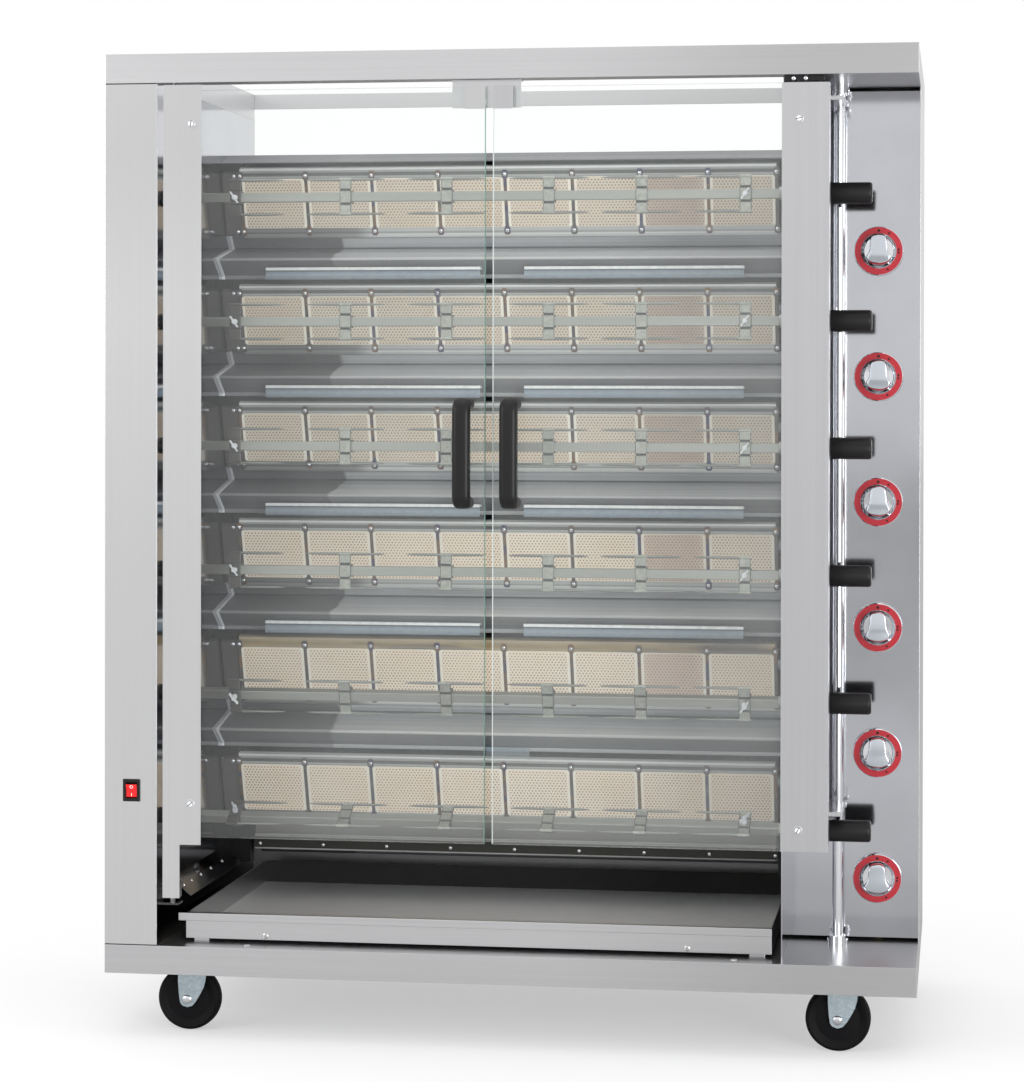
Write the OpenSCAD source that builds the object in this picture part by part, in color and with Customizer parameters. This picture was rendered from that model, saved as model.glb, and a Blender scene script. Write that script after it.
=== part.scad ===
// Upright gas chicken rotisserie: six spits one above another in front of six infrared burner rows
// Millimetres, Z up, front of the machine towards -Y, floor at z = 0

/* [Body] */
// Width over the fascias
body_w = 1160; // [1140:10:1240]
// Depth from the front plane to the back panel
body_d = 600; // [590:10:660]
// Height from the underside of the base to the top of the roof
body_h = 1322; // [1322:10:1380]
// Thickness of the sheet metal
sheet = 1.5; // [1.2:0.1:2]
// Height of the roof's front and side rails
roof_h = 42; // [38:1:50]
// Height of the roof's rear rail
rear_rail_h = 24; // [18:1:30]
// Depth of the box rail along the front of the roof
rail_d = 36; // [32:1:45]
// Height of the base
base_h = 41; // [38:1:50]
// Width of the drive cabinet on the left
cabinet_w = 77; // [75:1:90]
// Width of the gas compartment on the right
gas_w = 189; // [185:1:200]
// Depth of the recess in front of the gas taps
recess_d = 205; // [200:1:225]
// Height of the back panel's top above the highest spit
back_over = 97; // [92:1:105]

/* [Spits] */
// Height of the lowest spit above the base's underside
first_spit = 212; // [206:1:216]
// Distance of the highest spit below the roof
top_drop = 158; // [150:1:166]
// Depth of the spits behind the front plane
spit_y = 119; // [112:1:122]
// Side of the square spit bar
bar_s = 13.5; // [12:0.5:14.5]
// Diameter of the bar's round bearing length
journal_d = 19; // [18:0.5:22]
// Diameter of a spit's grip
grip_d = 31; // [28:1:34]
// Length of a spit's grip
grip_l = 60; // [50:1:64]
// Distance of the grip's outer end from the chamber's right wall
grip_reach = 122; // [116:1:126]
// Distance of the left end fork from the chamber's left wall
left_fork = 88; // [80:1:110]
// Distance of the right end fork from the chamber's right wall
right_fork = 58; // [50:1:80]
// Height of a bird fork
fork_h = 56; // [50:1:64]
// Width of a bird fork's plate
fork_w = 17; // [14:1:20]
// Thickness of a fork's plate
fork_t = 3; // [2:0.5:4]
// Gap between the prongs of neighbouring forks
prong_gap = 17; // [12:1:24]
// Thickness of a prong
prong_d = 4; // [3:0.5:5]

/* [Burners] */
// Depth of the middle of the burner faces behind the front plane
burner_y = 392; // [388:1:400]
// Height of the burner's middle above its spit
burner_rise = 9; // [6:1:12]
// Lean of the burner faces, which look slightly down
burner_lean = 20; // [15:1:22]
// Height of a burner's face with its rails
burner_h = 114; // [110:1:118]
// How far a burner's rails stand beyond its mixing box
rail_over = 6; // [4:0.5:8]
// Depth of a burner's mixing box
burner_box_d = 62; // [50:1:66]
// Gap from the chamber's walls to the burner ends
burner_gap = 30; // [26:1:34]
// Ceramic tiles in a row
tile_n = 8; // [6:1:9]
// Height of a ceramic tile
tile_h = 80; // [74:1:82]
// Thickness of a ceramic tile
tile_t = 12; // [10:0.5:14]
// Gap between two tiles
tile_gap = 4.4; // [3:0.2:6]
// Diameter of a burner's mixing tube
tube_d = 30; // [26:1:34]
// Gap between a deflector and the burner row under it
row_gap = 7.4; // [5:0.2:12]

/* [Doors] */
// Left edge of the left door from the machine's left side
door_left = 85.5; // [84:0.5:87]
// Width of the left door's stile
left_stile_w = 56; // [52:1:62]
// Width of the narrow tail under the left stile
tail_w = 25; // [23:1:28]
// Lower end of that tail
tail_z = 110; // [108:1:118]
// Lower end of the left stile
left_stile_z = 187; // [180:1:195]
// Lower end of the glass and of the right stile
glass_z = 198; // [194:1:204]
// Distance of the gap between the panes right of the chamber's middle
meet_shift = 34.5; // [15:0.5:56]
// Gap between the two panes
pane_gap = 11; // [6:0.5:14]
// Thickness of the glass
glass_t = 6; // [5:0.5:8]
// Gap between the doors and the rail above them
door_top_gap = 3; // [2:0.5:6]
// Distance of the left door's pivot from its edge
pivot_in = 11.5; // [10.5:0.5:13]
// Diameter of the left door's pivot pins
pin_d = 8; // [6:0.5:9]
// Right edge of the right door from the chamber's right wall
right_edge = 66; // [62:1:68]
// Width of the right door's stile
right_stile_w = 66; // [60:1:70]
// Depth of the hinge post behind the front plane
post_y = 164; // [160:1:168]
// Distance of the hinge post from the chamber's right wall
post_in = 73; // [71:1:76]
// Diameter of the hinge post
post_d = 15; // [13:0.5:16]
// Height of the middle of the door handles
handle_z = 751; // [700:1:800]
// Length of a door handle
handle_l = 156; // [140:1:170]
// Width of a door handle
handle_w = 23; // [18:1:26]
// How far a door handle stands out from the glass
handle_out = 46; // [40:1:52]
// Distance from a pane's free edge to its handle's middle
handle_in = 28; // [24:1:34]

/* [Controls] */
// Distance of the knobs below their spits
knob_drop = 79; // [76:1:84]
// Distance of the knobs from the machine's right side
knob_in = 60; // [56:1:66]
// Diameter of a knob's skirt
knob_d = 72; // [66:1:74]
// How far a knob stands out from its panel
knob_out = 32; // [28:1:36]
// Height of the switch above the base's underside
switch_z = 264; // [250:1:300]
// Width of the switch's bezel
switch_w = 25; // [22:1:27]
// Height of the switch's bezel
switch_h = 32; // [29:1:35]

/* [Drip tray] */
// Distance of the tray's front behind the front plane
tray_y = 40; // [36:1:46]
// Distance of the tray's back before the machine's back
tray_back = 60; // [50:5:90]
// Gap from the chamber's left wall to the tray
tray_left = 33; // [31:1:36]
// Gap from the chamber's right wall to the tray
tray_right = 14; // [12:1:18]
// Height of the tray's walls
tray_h = 36; // [32:1:38]

/* [Castors] */
// Diameter of a wheel
wheel_d = 92; // [88:1:94]
// Width of a wheel
wheel_w = 28; // [24:1:30]
// Height of the castors' plates above the base's underside
plate_up = 30; // [29:1:34]
// Distance of a wheel's axle from its swivel
trail = 26; // [22:1:30]
// Distance of the left swivels from the machine's left side
castor_left = 134; // [126:1:140]
// Distance of the right swivels from the machine's right side
castor_right = 85; // [78:1:90]
// Distance of the swivels from the front and the back
castor_depth = 74; // [70:1:80]

/* [Hidden] */
$fn = 48;
tiers = 6;

// Clearances
run = 0.05;          // radial gap of a pin or shaft in its bore
gap = 0.3;           // gap between parts that slide or turn past each other
past = 1;            // how far a cutter runs past the face that it cuts, or a bar into its neighbour

// Frame: the working frame has x = 0 at the left side, y = 0 at the front plane
// and z = 0 at the underside of the base
inlet_out = 25;      // how far the gas inlet stands out of the back
glass_y = 3;         // front face of the glass
door_y = 1;          // front face of the stiles
door_rim = 8;        // distance of the glass below the doors' upper edge
floor_gap = wheel_d;
shift_y = (handle_out - glass_y - body_d - inlet_out) / 2;
wall_l = cabinet_w;
wall_r = body_w - gas_w;
chamber_w = wall_r - wall_l;
chamber_mid = wall_l + chamber_w / 2;
soffit = body_h - roof_h;
back_y = body_d - sheet;
door_top = soffit - door_top_gap;
glass_top = door_top - door_rim;
panel_y = recess_d + sheet;
tier_pitch = (soffit - top_drop - first_spit) / (tiers - 1);

function spit_z(n) = first_spit + tier_pitch * (n - 1);
function burner_z(n) = spit_z(n) + burner_rise;
function knob_z(n) = spit_z(n) - knob_drop;
back_top = spit_z(tiers) + back_over;

// How far each spit is turned where it came to rest, the lowest first
spit_turn = [-60, 20, 0, 0, 0, 0];
module at_spit(n) {
    translate([0, spit_y, spit_z(n)]) rotate([spit_turn[n - 1], 0, 0]) children();
}

// Folded sheet: a polyline thickened to one side with mitred corners
function normal(a, b) = [a.y - b.y, b.x - a.x] / norm(b - a);
function mitre(p, i, t) = let (
    n1 = i > 0 ? normal(p[i - 1], p[i]) : normal(p[i], p[i + 1]),
    n2 = i < len(p) - 1 ? normal(p[i], p[i + 1]) : n1)
    p[i] + t * (n1 + n2) / (1 + n1 * n2);
module ribbon(p, t) {
    polygon(concat(p, [for (i = [len(p) - 1 : -1 : 0]) mitre(p, i, t)]));
}

// A profile drawn in [y, z] runs along X from x0 to x1
module along_x(x0, x1) {
    translate([x0, 0, 0]) rotate([90, 0, 90]) linear_extrude(x1 - x0) children();
}
module rod_x(x0, x1, d) {
    translate([x0, 0, 0]) rotate([0, 90, 0]) cylinder(d = d, h = x1 - x0);
}
module rod_y(y0, y1, d) {
    translate([0, y0, 0]) rotate([-90, 0, 0]) cylinder(d = d, h = y1 - y0);
}
module rod_z(z0, z1, d) {
    translate([0, 0, z0]) cylinder(d = d, h = z1 - z0);
}
module block(a, b) {
    translate(a) cube(b - a);
}
module place() {
    translate([-body_w / 2, shift_y, floor_gap]) children();
}

// Base: a skirt with a deck on top, two castor rails, four castor plates and two tray runners
castor_x = [castor_left, body_w - castor_right];
castor_y = [castor_depth, body_d - castor_depth];
castor_rail_w = 90;
castor_rail_t = 3;
king_d = 12;
king_clear = 2;
castor_plate_s = 74;
castor_plate_t = 4;
runner_in = 10;      // distance of a runner from the tray's edge
runner_w = 22;
runner_h = 5;
tray_z = base_h + runner_h + gap;
module castor_rail(x) {
    x0 = x - castor_rail_w / 2;
    x1 = x + castor_rail_w / 2;
    block([x0, sheet / 2, plate_up], [x1, body_d - sheet / 2, plate_up + castor_rail_t]);
    for (side = [x0, x1 - sheet])
        block([side, sheet / 2, plate_up], [side + sheet, body_d - sheet / 2, base_h - sheet / 2]);
}
module castor_plate() {
    difference() {
        translate([-castor_plate_s / 2, -castor_plate_s / 2, plate_up - castor_plate_t - run])
            cube([castor_plate_s, castor_plate_s, castor_plate_t]);
        rod_z(plate_up - castor_plate_t - past, plate_up + past, king_d + 2 * run);
    }
}
module base_frame() place() color("silver") {
    difference() {
        union() {
            difference() {
                block([0, 0, 0], [body_w, body_d, base_h]);
                block([sheet, sheet, -past], [body_w - sheet, body_d - sheet, base_h - sheet]);
            }
            for (x = castor_x) castor_rail(x);
            for (x = [wall_l + tray_left + runner_in, wall_r - tray_right - runner_in - runner_w])
                block([x, tray_y + runner_in, base_h - sheet / 2],
                      [x + runner_w, body_d - tray_back, base_h + runner_h]);
        }
        for (x = castor_x) for (y = castor_y) translate([x, y, 0])
            rod_z(0, plate_up + castor_rail_t + past, king_d + 2 * king_clear);
    }
    for (x = castor_x) for (y = castor_y) translate([x, y, 0]) castor_plate();
}

// Roof: a box rail along the front, a cap over each side compartment and a rail along the back,
// with the magnet plate for the doors under the front rail
catch_w = 99;
catch_h = 40;
catch_t = 2;
catch_foot = 16;
catch_shift = -5;    // distance of its middle from the gap between the panes
catch_y = glass_y + glass_t + 3;
module front_rail() difference() {
    block([0, 0, soffit], [body_w, rail_d, body_h]);
    block([sheet, sheet, soffit + sheet], [body_w - sheet, rail_d - sheet, body_h - sheet]);
    translate([pivot_x, pivot_y, 0]) rod_z(soffit - past, soffit + sheet + past, pin_d + 2 * run);
}
module roof_cap(x0, x1) difference() {
    block([x0, rail_d + run, soffit], [x1, body_d, body_h]);
    block([x0 + sheet, rail_d + run - past, soffit - past], [x1 - sheet, back_y, body_h - sheet]);
}
module catch_plate() {
    top = soffit - gap;
    along_x(meet_x + catch_shift - catch_w / 2, meet_x + catch_shift + catch_w / 2)
        ribbon([[catch_y + catch_foot, top], [catch_y, top], [catch_y, top - catch_h]], catch_t);
}
module roof_frame() place() color("silver") {
    front_rail();
    roof_cap(0, wall_l);
    union() {
        roof_cap(wall_r, body_w);
        // ceiling of the recess
        block([wall_r, rail_d + run, soffit], [body_w, panel_y, soffit + sheet]);
    }
    block([wall_l + run, back_y, body_h - rear_rail_h], [wall_r - run, body_d, body_h]);
    catch_plate();
}

// Casing panels
bezel_rim = 2;
lead_d = 16;
lead_z = 120;
module drive_front_panel() place() color("gainsboro") difference() {
    block([0, 0, base_h], [cabinet_w, sheet, soffit]);
    block([switch_x - switch_w / 2 + bezel_rim, -past, switch_z - switch_h / 2 + bezel_rim],
          [switch_x + switch_w / 2 - bezel_rim, sheet + past, switch_z + switch_h / 2 - bezel_rim]);
}
module side_panels() place() color("gainsboro") {
    block([0, sheet, base_h], [sheet, back_y, soffit]);
    block([body_w - sheet, recess_d, base_h], [body_w, back_y, soffit]);
}
module back_panel() place() color("silver") difference() {
    block([0, back_y, base_h], [body_w, body_d, soffit]);
    block([wall_l, back_y - past, back_top], [wall_r, body_d + past, soffit + past]);
    translate([cabinet_w / 2, 0, lead_z]) rod_y(back_y - past, body_d + past, lead_d);
    translate([inlet_x, 0, inlet_z]) rod_y(back_y - past, body_d + past, pipe_d + 2 * gap);
}

// Left wall of the chamber, with the hub bearings, the grease lip and the pivot shelf
bush_d = 34;
bush_t = 4;          // how far a bearing stands out of the wall
bush_seat_d = 22;    // hole in the wall behind a bearing
hub_shaft_d = 16;
lip_rise = 24;
lip_front = 40;      // how far the grease lip starts before the spits
lip_side = 3;        // gap from the lip's edge to the tray's side, seen from above
lip_over = 18;       // height of the lip over the tray
lip_z = tray_z + tray_h + lip_over;
shelf_t = 3;
shelf_out = 12;      // how far the pivot shelf reaches beyond the pivot
shelf_gap = 7;       // gap between the shelf and the stile's tail
pivot_back = 13;     // distance of the pivot behind the stiles' front
pivot_x = door_left + pivot_in;
pivot_y = door_y + pivot_back;
shelf_z = tail_z - shelf_gap;
module left_inner_wall() place() {
    color("lightgray") difference() {
        block([wall_l - sheet, sheet, base_h], [wall_l, back_y, soffit]);
        for (n = [1 : tiers]) translate([0, spit_y, spit_z(n)])
            rod_x(wall_l - sheet - past, wall_l + past, bush_seat_d);
    }
    color("lightgray") translate([0, burner_y, 0]) rotate([90, 0, 0])
        linear_extrude(burner_y - spit_y + lip_front)
            ribbon([[wall_l - sheet / 2, lip_z + lip_rise], [wall_l + tray_left - lip_side, lip_z]],
                   sheet);
    color("lightgray") difference() {
        block([wall_l - sheet / 2, sheet + gap, shelf_z - shelf_t],
              [pivot_x + shelf_out, pivot_y + shelf_out, shelf_z]);
        translate([pivot_x, pivot_y, 0])
            rod_z(shelf_z - shelf_t - past, shelf_z + past, pin_d + 2 * run);
    }
    color("peru") for (n = [1 : tiers]) translate([0, spit_y, spit_z(n)]) difference() {
        rod_x(wall_l - sheet / 2, wall_l + bush_t, bush_d);
        rod_x(wall_l - sheet - past, wall_l + bush_t + past, hub_shaft_d + 2 * run);
    }
}

// Right wall of the chamber, with a notch for each spit and a hole for each mixing tube
wall_front = 24;
slot_up = 14;
slot_r = journal_d / 2 + gap;
module right_inner_wall() place() color("lightgray") difference() {
    block([wall_r, wall_front, base_h], [wall_r + sheet, back_y, soffit]);
    for (n = [1 : tiers]) {
        translate([0, spit_y, spit_z(n)]) rod_x(wall_r - past, wall_r + sheet + past, 2 * slot_r);
        block([wall_r - past, spit_y - slot_r, spit_z(n)],
              [wall_r + sheet + past, spit_y + slot_r, spit_z(n) + slot_up + slot_r]);
        block([wall_r - past, wall_front - past, spit_z(n) + slot_up - slot_r],
              [wall_r + sheet + past, spit_y, spit_z(n) + slot_up + slot_r]);
        translate([0, tube_y(n), tube_z(n)])
            rod_x(wall_r - past, wall_r + sheet + past, tube_d + 2 * gap);
    }
}

// Panel that carries the gas taps, folded back at its edges
reveal = 5;
fold = 16;
module control_panel() place() color("gainsboro") difference() {
    block([wall_r + sheet, recess_d, base_h + reveal],
          [body_w - sheet, recess_d + fold, soffit - reveal]);
    block([wall_r + 2 * sheet, panel_y, base_h + reveal + sheet],
          [body_w - 2 * sheet, recess_d + fold + past, soffit - reveal - sheet]);
    for (n = [1 : tiers]) translate([knob_x, 0, knob_z(n)])
        rod_y(recess_d - past, panel_y + past, stem_d + 2 * run);
}

// Burners: a mixing box with a tube, a row of ceramic tiles and two rails to a row
tile_w = (chamber_w - 2 * burner_gap) / tile_n - tile_gap;
rim = 4;             // border of the box's window behind the tiles
box_h = burner_h - 2 * rail_over;
tube_back = 4;       // gap from the tube to the box's back
tube_in = tile_t + burner_box_d - tube_d / 2 - tube_back;
tube_out = 46;       // how far a tube reaches into the gas compartment
module at_burner(n) {
    translate([0, burner_y, burner_z(n)]) rotate([burner_lean, 0, 0]) children();
}
function turned(y, z) = [y * cos(burner_lean) - z * sin(burner_lean),
                         y * sin(burner_lean) + z * cos(burner_lean)];
function tube_y(n) = burner_y + turned(tube_in, 0)[0];
function tube_z(n) = burner_z(n) + turned(tube_in, 0)[1];
module burner_box(n) at_burner(n) difference() {
    block([wall_l + burner_gap, tile_t, -box_h / 2],
          [wall_r - burner_gap, tile_t + burner_box_d, box_h / 2]);
    block([wall_l + burner_gap + sheet, tile_t + sheet, -box_h / 2 + sheet],
          [wall_r - burner_gap - sheet, tile_t + burner_box_d - sheet, box_h / 2 - sheet]);
    block([wall_l + burner_gap + rim, tile_t - past, -tile_h / 2 + rim],
          [wall_r - burner_gap - rim, tile_t + sheet + past, tile_h / 2 - rim]);
}
module burner(n) difference() {
    union() {
        burner_box(n);
        translate([0, tube_y(n), tube_z(n)])
            rod_x(wall_r - burner_gap - sheet / 2, wall_r + tube_out, tube_d);
    }
    translate([0, tube_y(n), tube_z(n)])
        rod_x(wall_r - burner_gap - sheet - past, wall_r + tube_out + past, tube_d - 2 * sheet);
}
module burners() place() color("darkgray") {
    for (n = [1 : tiers]) burner(n);
}
module ceramic_tiles() place() color("antiquewhite") {
    for (n = [1 : tiers]) at_burner(n) for (i = [0 : tile_n - 1])
        translate([wall_l + burner_gap + tile_gap / 2 + i * (tile_w + tile_gap), 0, -tile_h / 2])
            cube([tile_w, tile_t, tile_h]);
}
// A rail laps over the tiles' edges, stands on the mixing box and is folded back at its outer edge
rail_lap = 3;
rail_fold = 8;
module tile_rail() {
    edge = tile_h / 2;
    outer = burner_h / 2;
    polygon([[-sheet, edge - rail_lap], [0, edge - rail_lap], [0, edge + gap], [tile_t, edge + gap],
             [tile_t, edge + gap + sheet], [0, edge + gap + sheet], [0, outer - sheet],
             [rail_fold, outer - sheet], [rail_fold, outer], [-sheet, outer]]);
}
module tile_rails() place() color("silver") {
    for (n = [1 : tiers]) at_burner(n) for (e = [0, 1]) mirror([0, 0, e])
        along_x(wall_l + burner_gap, wall_r - burner_gap) tile_rail();
}

// Uprights: two bars on the chamber's walls, which carry the burner ends
upright_in = 60;     // distance of their front behind the middle of the burner faces
upright_d = 26;
upright_over = 10;   // gap over the tray
upright_under = 20;  // gap under the back panel's top
module upright(x) {
    block([x, burner_y + upright_in, tray_z + tray_h + upright_over],
          [x + burner_gap, burner_y + upright_in + upright_d, back_top - upright_under]);
}
module burner_uprights() place() color("silver") {
    upright(wall_l);
    difference() {
        upright(wall_r - burner_gap);
        for (n = [1 : tiers]) translate([0, tube_y(n), tube_z(n)])
            rod_x(wall_r - burner_gap - past, wall_r + past, tube_d + 2 * gap);
    }
}

// Deflectors: a folded sheet under each row, which carries two galvanised drip strips.
// Points are [y, z]; low_edge is where a sheet meets the lower back edge of its burner's rail
rail_seat = 1;                           // gap between a rail and the sheet under it
function low_edge(n) = [burner_y, burner_z(n)] + rail_foot;
rail_foot = turned(tile_t + rail_over, -burner_h / 2 - rail_seat);
row_h = turned(rail_fold, burner_h / 2)[1] - rail_foot[1];
fold_h = tier_pitch - row_h - row_gap;   // height of a deflector
back_fold = fold_h * 2 / 7;              // how far it first runs back and down
nose = 84;                               // how far its nose comes forward of its upper edge
nose_drop = fold_h * 4 / 7;              // how far the nose lies below that edge
return_in = 46;                          // where it ends, forward of its upper edge
hem = 6;                                 // height of the hem at its end
function fold_line(n) = let (b = low_edge(n)) [
    b, b + [back_fold, -back_fold], b + [-nose, -nose_drop], b + [-return_in, hem - fold_h],
    b + [-return_in, -fold_h]];
strip_h = 19;                            // height of a drip strip's face
strip_flange = 14;                       // depth of its top flange
strip_seat = 24;                         // distance of its foot from the nose
strip_foot = 10;                         // length of its foot under the return
strip_end = 77;                          // distance of its outer end from the chamber's wall
strip_mid = 34;                          // distance of its inner end from the chamber's middle
function strip_line(n) = let (
    tip = low_edge(n) + [-nose, -nose_drop],
    way = [nose - return_in, nose_drop + hem - fold_h],
    u = way / norm(way),
    seat = tip + u * strip_seat + gap * [u.y, -u.x])
    [seat + [-strip_flange, -strip_h], seat + [-strip_flange, 0], seat, seat + u * strip_foot];
plate_w = 68;                            // width of the short plate over the lowest row
plate_h = 20;
plate_shift = 5;                         // distance of its middle from the chamber's middle
module short_plate() {
    top = low_edge(2) + [-return_in, hem - fold_h];
    block([chamber_mid + plate_shift - plate_w / 2, top.x - gap - sheet, top.y - plate_h],
          [chamber_mid + plate_shift + plate_w / 2, top.x - gap, top.y]);
}
drip_in = 30;                            // distance of the lowest sheet's bend from the tray's back
drip_run = 18;
drip_over = 16;
cover_front = 22;                        // how far the top cover comes forward of the burner faces
cover_back = 30;
cover_rise = 5;
cover_step = 10;
cover_lip = 12;
module deflectors() place() {
    color("silver") for (n = [2 : tiers]) along_x(wall_l, wall_r) ribbon(fold_line(n), sheet);
    color("lightsteelblue") for (n = [3 : tiers]) {
        along_x(wall_l + strip_end, chamber_mid - strip_mid) ribbon(strip_line(n), -sheet);
        along_x(chamber_mid + strip_mid, wall_r - strip_end) ribbon(strip_line(n), -sheet);
    }
    color("lightsteelblue") short_plate();
    // lowest sheet, between the uprights, with its end over the tray
    color("silver") along_x(wall_l + burner_gap + gap, wall_r - burner_gap - gap)
        ribbon([low_edge(1), low_edge(1) + [back_fold, -back_fold],
                [tray_y1 - drip_in, tray_z + tray_h + drip_over + drip_run],
                [tray_y1 - drip_in + drip_run, tray_z + tray_h + drip_over]], sheet);
    color("silver") along_x(wall_l, wall_r)
        ribbon([[burner_y - cover_front, burner_z(tiers) + burner_h / 2 + cover_rise],
                [burner_y + cover_back, back_top - cover_step], [back_y, back_top - sheet],
                [back_y, back_top - cover_lip]], -sheet);
}

// Gas train: inlet, riser, six taps and the pipes to the mixing tubes
inlet_d = 21;
inlet_x = body_w - knob_in;
inlet_z = 100;
pipe_d = 17;         // pipe from the riser to the inlet
riser_d = 22;
riser_back = 62;     // distance of the riser behind the tap panel
riser_y = panel_y + riser_back;
riser_over = 20;
branch_d = 10;
branch_in = 30;      // distance of the branches' ends from the chamber's wall
knob_x = body_w - knob_in;
stem_d = 8;
stem_in = 12;
tap_d = 30;
module gas_manifold() place() color("goldenrod") {
    translate([inlet_x, 0, inlet_z]) {
        rod_y(body_d, body_d + inlet_out, inlet_d);
        rod_y(riser_y, body_d + past, pipe_d);
    }
    translate([inlet_x, riser_y, 0]) rod_z(base_h, tube_z(tiers) + riser_over, riser_d);
    for (n = [1 : tiers]) {
        translate([knob_x, 0, knob_z(n)]) difference() {
            rod_y(panel_y, riser_y, tap_d);
            rod_y(panel_y - past, panel_y + stem_in + gap, stem_d + 2 * run);
        }
        translate([0, riser_y, tube_z(n)]) rod_x(wall_r + branch_in, inlet_x, branch_d);
        translate([wall_r + branch_in, riser_y, tube_z(n)]) sphere(d = branch_d);
    }
}

// Drive: gear motor, its sprocket, one long chain and six hubs
sprocket_d = 66;
sprocket_t = 5;
sprocket_in = 24;    // distance of the sprockets from the chamber
sprocket_x = wall_l - sprocket_in;
tooth_d = 7;
teeth = 16;
chain_t = 7;
boss_d = 30;
boss_l = 4;
hub_d = 24;
hub_out = 30;        // how far a hub reaches into the chamber
socket_in = 12;      // distance of its square socket's floor from the wall
motor_z = spit_z(1) + tier_pitch / 2;
module sprocket() {
    rotate([0, 90, 0]) linear_extrude(sprocket_t) difference() {
        circle(d = sprocket_d);
        for (i = [0 : teeth - 1]) rotate(i * 360 / teeth)
            translate([sprocket_d / 2, 0]) circle(d = tooth_d);
    }
}
module hub(n) place() color("dimgray") at_spit(n) difference() {
    union() {
        rod_x(sprocket_x, wall_l + bush_t + gap + past, hub_shaft_d);
        rod_x(wall_l + bush_t + gap, wall_l + hub_out, hub_d);
        translate([sprocket_x, 0, 0]) sprocket();
        rod_x(sprocket_x - boss_l, sprocket_x + past, boss_d);
        rod_x(sprocket_x + sprocket_t - past, wall_l - 2 * sheet, boss_d);
    }
    block([wall_l + socket_in, -bar_s / 2 - run, -bar_s / 2 - run],
          [wall_l + hub_out + past, bar_s / 2 + run, bar_s / 2 + run]);
}
gearbox = [62, 74, 90];
gearbox_gap = 16;    // gap between the sprocket's rim and the gearbox
gearbox_x0 = sheet + 1;
gearbox_y = spit_y + sprocket_d / 2 + gearbox_gap;
motor_d = 58;
motor_l = 130;
foot_w = 16;         // height of the gearbox's feet
foot_z = 32;         // distance of the feet above and below the motor's axis
foot_in = 8;
arm_h = 44;          // bearing arm that reaches forward to the sprocket
arm_w = 14;
motor_shaft_d = 14;
module gear_motor() place() color("slategray") translate([0, 0, motor_z]) {
    block([gearbox_x0, gearbox_y, -gearbox[2] / 2],
          [gearbox_x0 + gearbox[0], gearbox_y + gearbox[1], gearbox[2] / 2]);
    translate([gearbox_x0 + gearbox[0] / 2, 0, 0])
        rod_y(gearbox_y + gearbox[1] - past, gearbox_y + gearbox[1] + motor_l, motor_d);
    for (e = [-1, 1])
        block([gearbox_x0 + gearbox[0] - past, gearbox_y + foot_in, e * foot_z - foot_w / 2],
              [wall_l - sheet, gearbox_y + gearbox[1] - foot_in, e * foot_z + foot_w / 2]);
    difference() {
        block([gearbox_x0, spit_y - arm_h / 2, -arm_h / 2],
              [gearbox_x0 + arm_w, gearbox_y + past, arm_h / 2]);
        translate([0, spit_y, 0])
            rod_x(gearbox_x0 - past, gearbox_x0 + arm_w + past, motor_shaft_d + 2 * run);
    }
}
module motor_sprocket() place() color("dimgray") translate([0, spit_y, motor_z]) {
    translate([sprocket_x, 0, 0]) sprocket();
    rod_x(gearbox_x0 + 2, sprocket_x + past, motor_shaft_d);
}
module stadium(r) {
    translate([0, spit_z(1)]) circle(r);
    translate([0, spit_z(tiers)]) circle(r);
    translate([-r, spit_z(1)]) square([2 * r, spit_z(tiers) - spit_z(1)]);
}
module drive_chain() place() color("darkslategray") translate([sprocket_x, spit_y, 0])
    rotate([90, 0, 90]) linear_extrude(sprocket_t) difference() {
        stadium(sprocket_d / 2 + gap + chain_t);
        stadium(sprocket_d / 2 + gap);
    }

// Spits: a square bar in its hub and its notch, four double forks and two end forks
bar_start = 14;      // distance of a bar's left end from the chamber's wall
bar_in_grip = 20;
bar_end = wall_r + grip_reach - grip_l + bar_in_grip;
journal_x = [wall_r - 10, wall_r + 12];
fork_span = chamber_w - left_fork - right_fork;
fork_share = [0.22, 0.42, 0.62, 0.8];    // places of the double forks between the end forks
closest = fork_span * (fork_share[3] - fork_share[2]);
prong_l = (closest - fork_w - prong_gap) / 2;
end_prong_l = fork_span * (1 - fork_share[3]) - fork_w - prong_l - prong_gap;
sleeve_s = bar_s + 2 * fork_t;
thumb_d = 8;
thumb_l = 12;
module fork_plate() {
    difference() {
        block([-fork_w / 2, -sleeve_s / 2, -sleeve_s / 2], [fork_w / 2, sleeve_s / 2, sleeve_s / 2]);
        block([-fork_w / 2 - past, -bar_s / 2 - run, -bar_s / 2 - run],
              [fork_w / 2 + past, bar_s / 2 + run, bar_s / 2 + run]);
    }
    block([-fork_w / 2, -sleeve_s / 2, -fork_h / 2], [fork_w / 2, -bar_s / 2 - run, fork_h / 2]);
}
module prongs(x0, x1) {
    for (e = [-1, 1]) translate([0, -bar_s / 2, e * (fork_h / 2 - prong_d)]) rod_x(x0, x1, prong_d);
}
module double_fork() {
    fork_plate();
    prongs(-fork_w / 2 - prong_l, fork_w / 2 + prong_l);
}
module end_fork() {
    fork_plate();
    prongs(-fork_w / 2, fork_w / 2 + end_prong_l);
    rod_y(-sleeve_s / 2 - thumb_l, -bar_s / 2 - fork_t / 2, thumb_d);
}
module spit(n) place() color("lightsteelblue") at_spit(n) {
    block([wall_l + bar_start, -bar_s / 2, -bar_s / 2], [bar_end, bar_s / 2, bar_s / 2]);
    rod_x(journal_x[0], journal_x[1], journal_d);
    for (share = fork_share) translate([wall_l + left_fork + share * fork_span, 0, 0]) double_fork();
    translate([wall_l + left_fork, 0, 0]) end_fork();
    translate([wall_r - right_fork, 0, 0]) mirror([1, 0, 0]) end_fork();
}
grip_round = 4;
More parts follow.
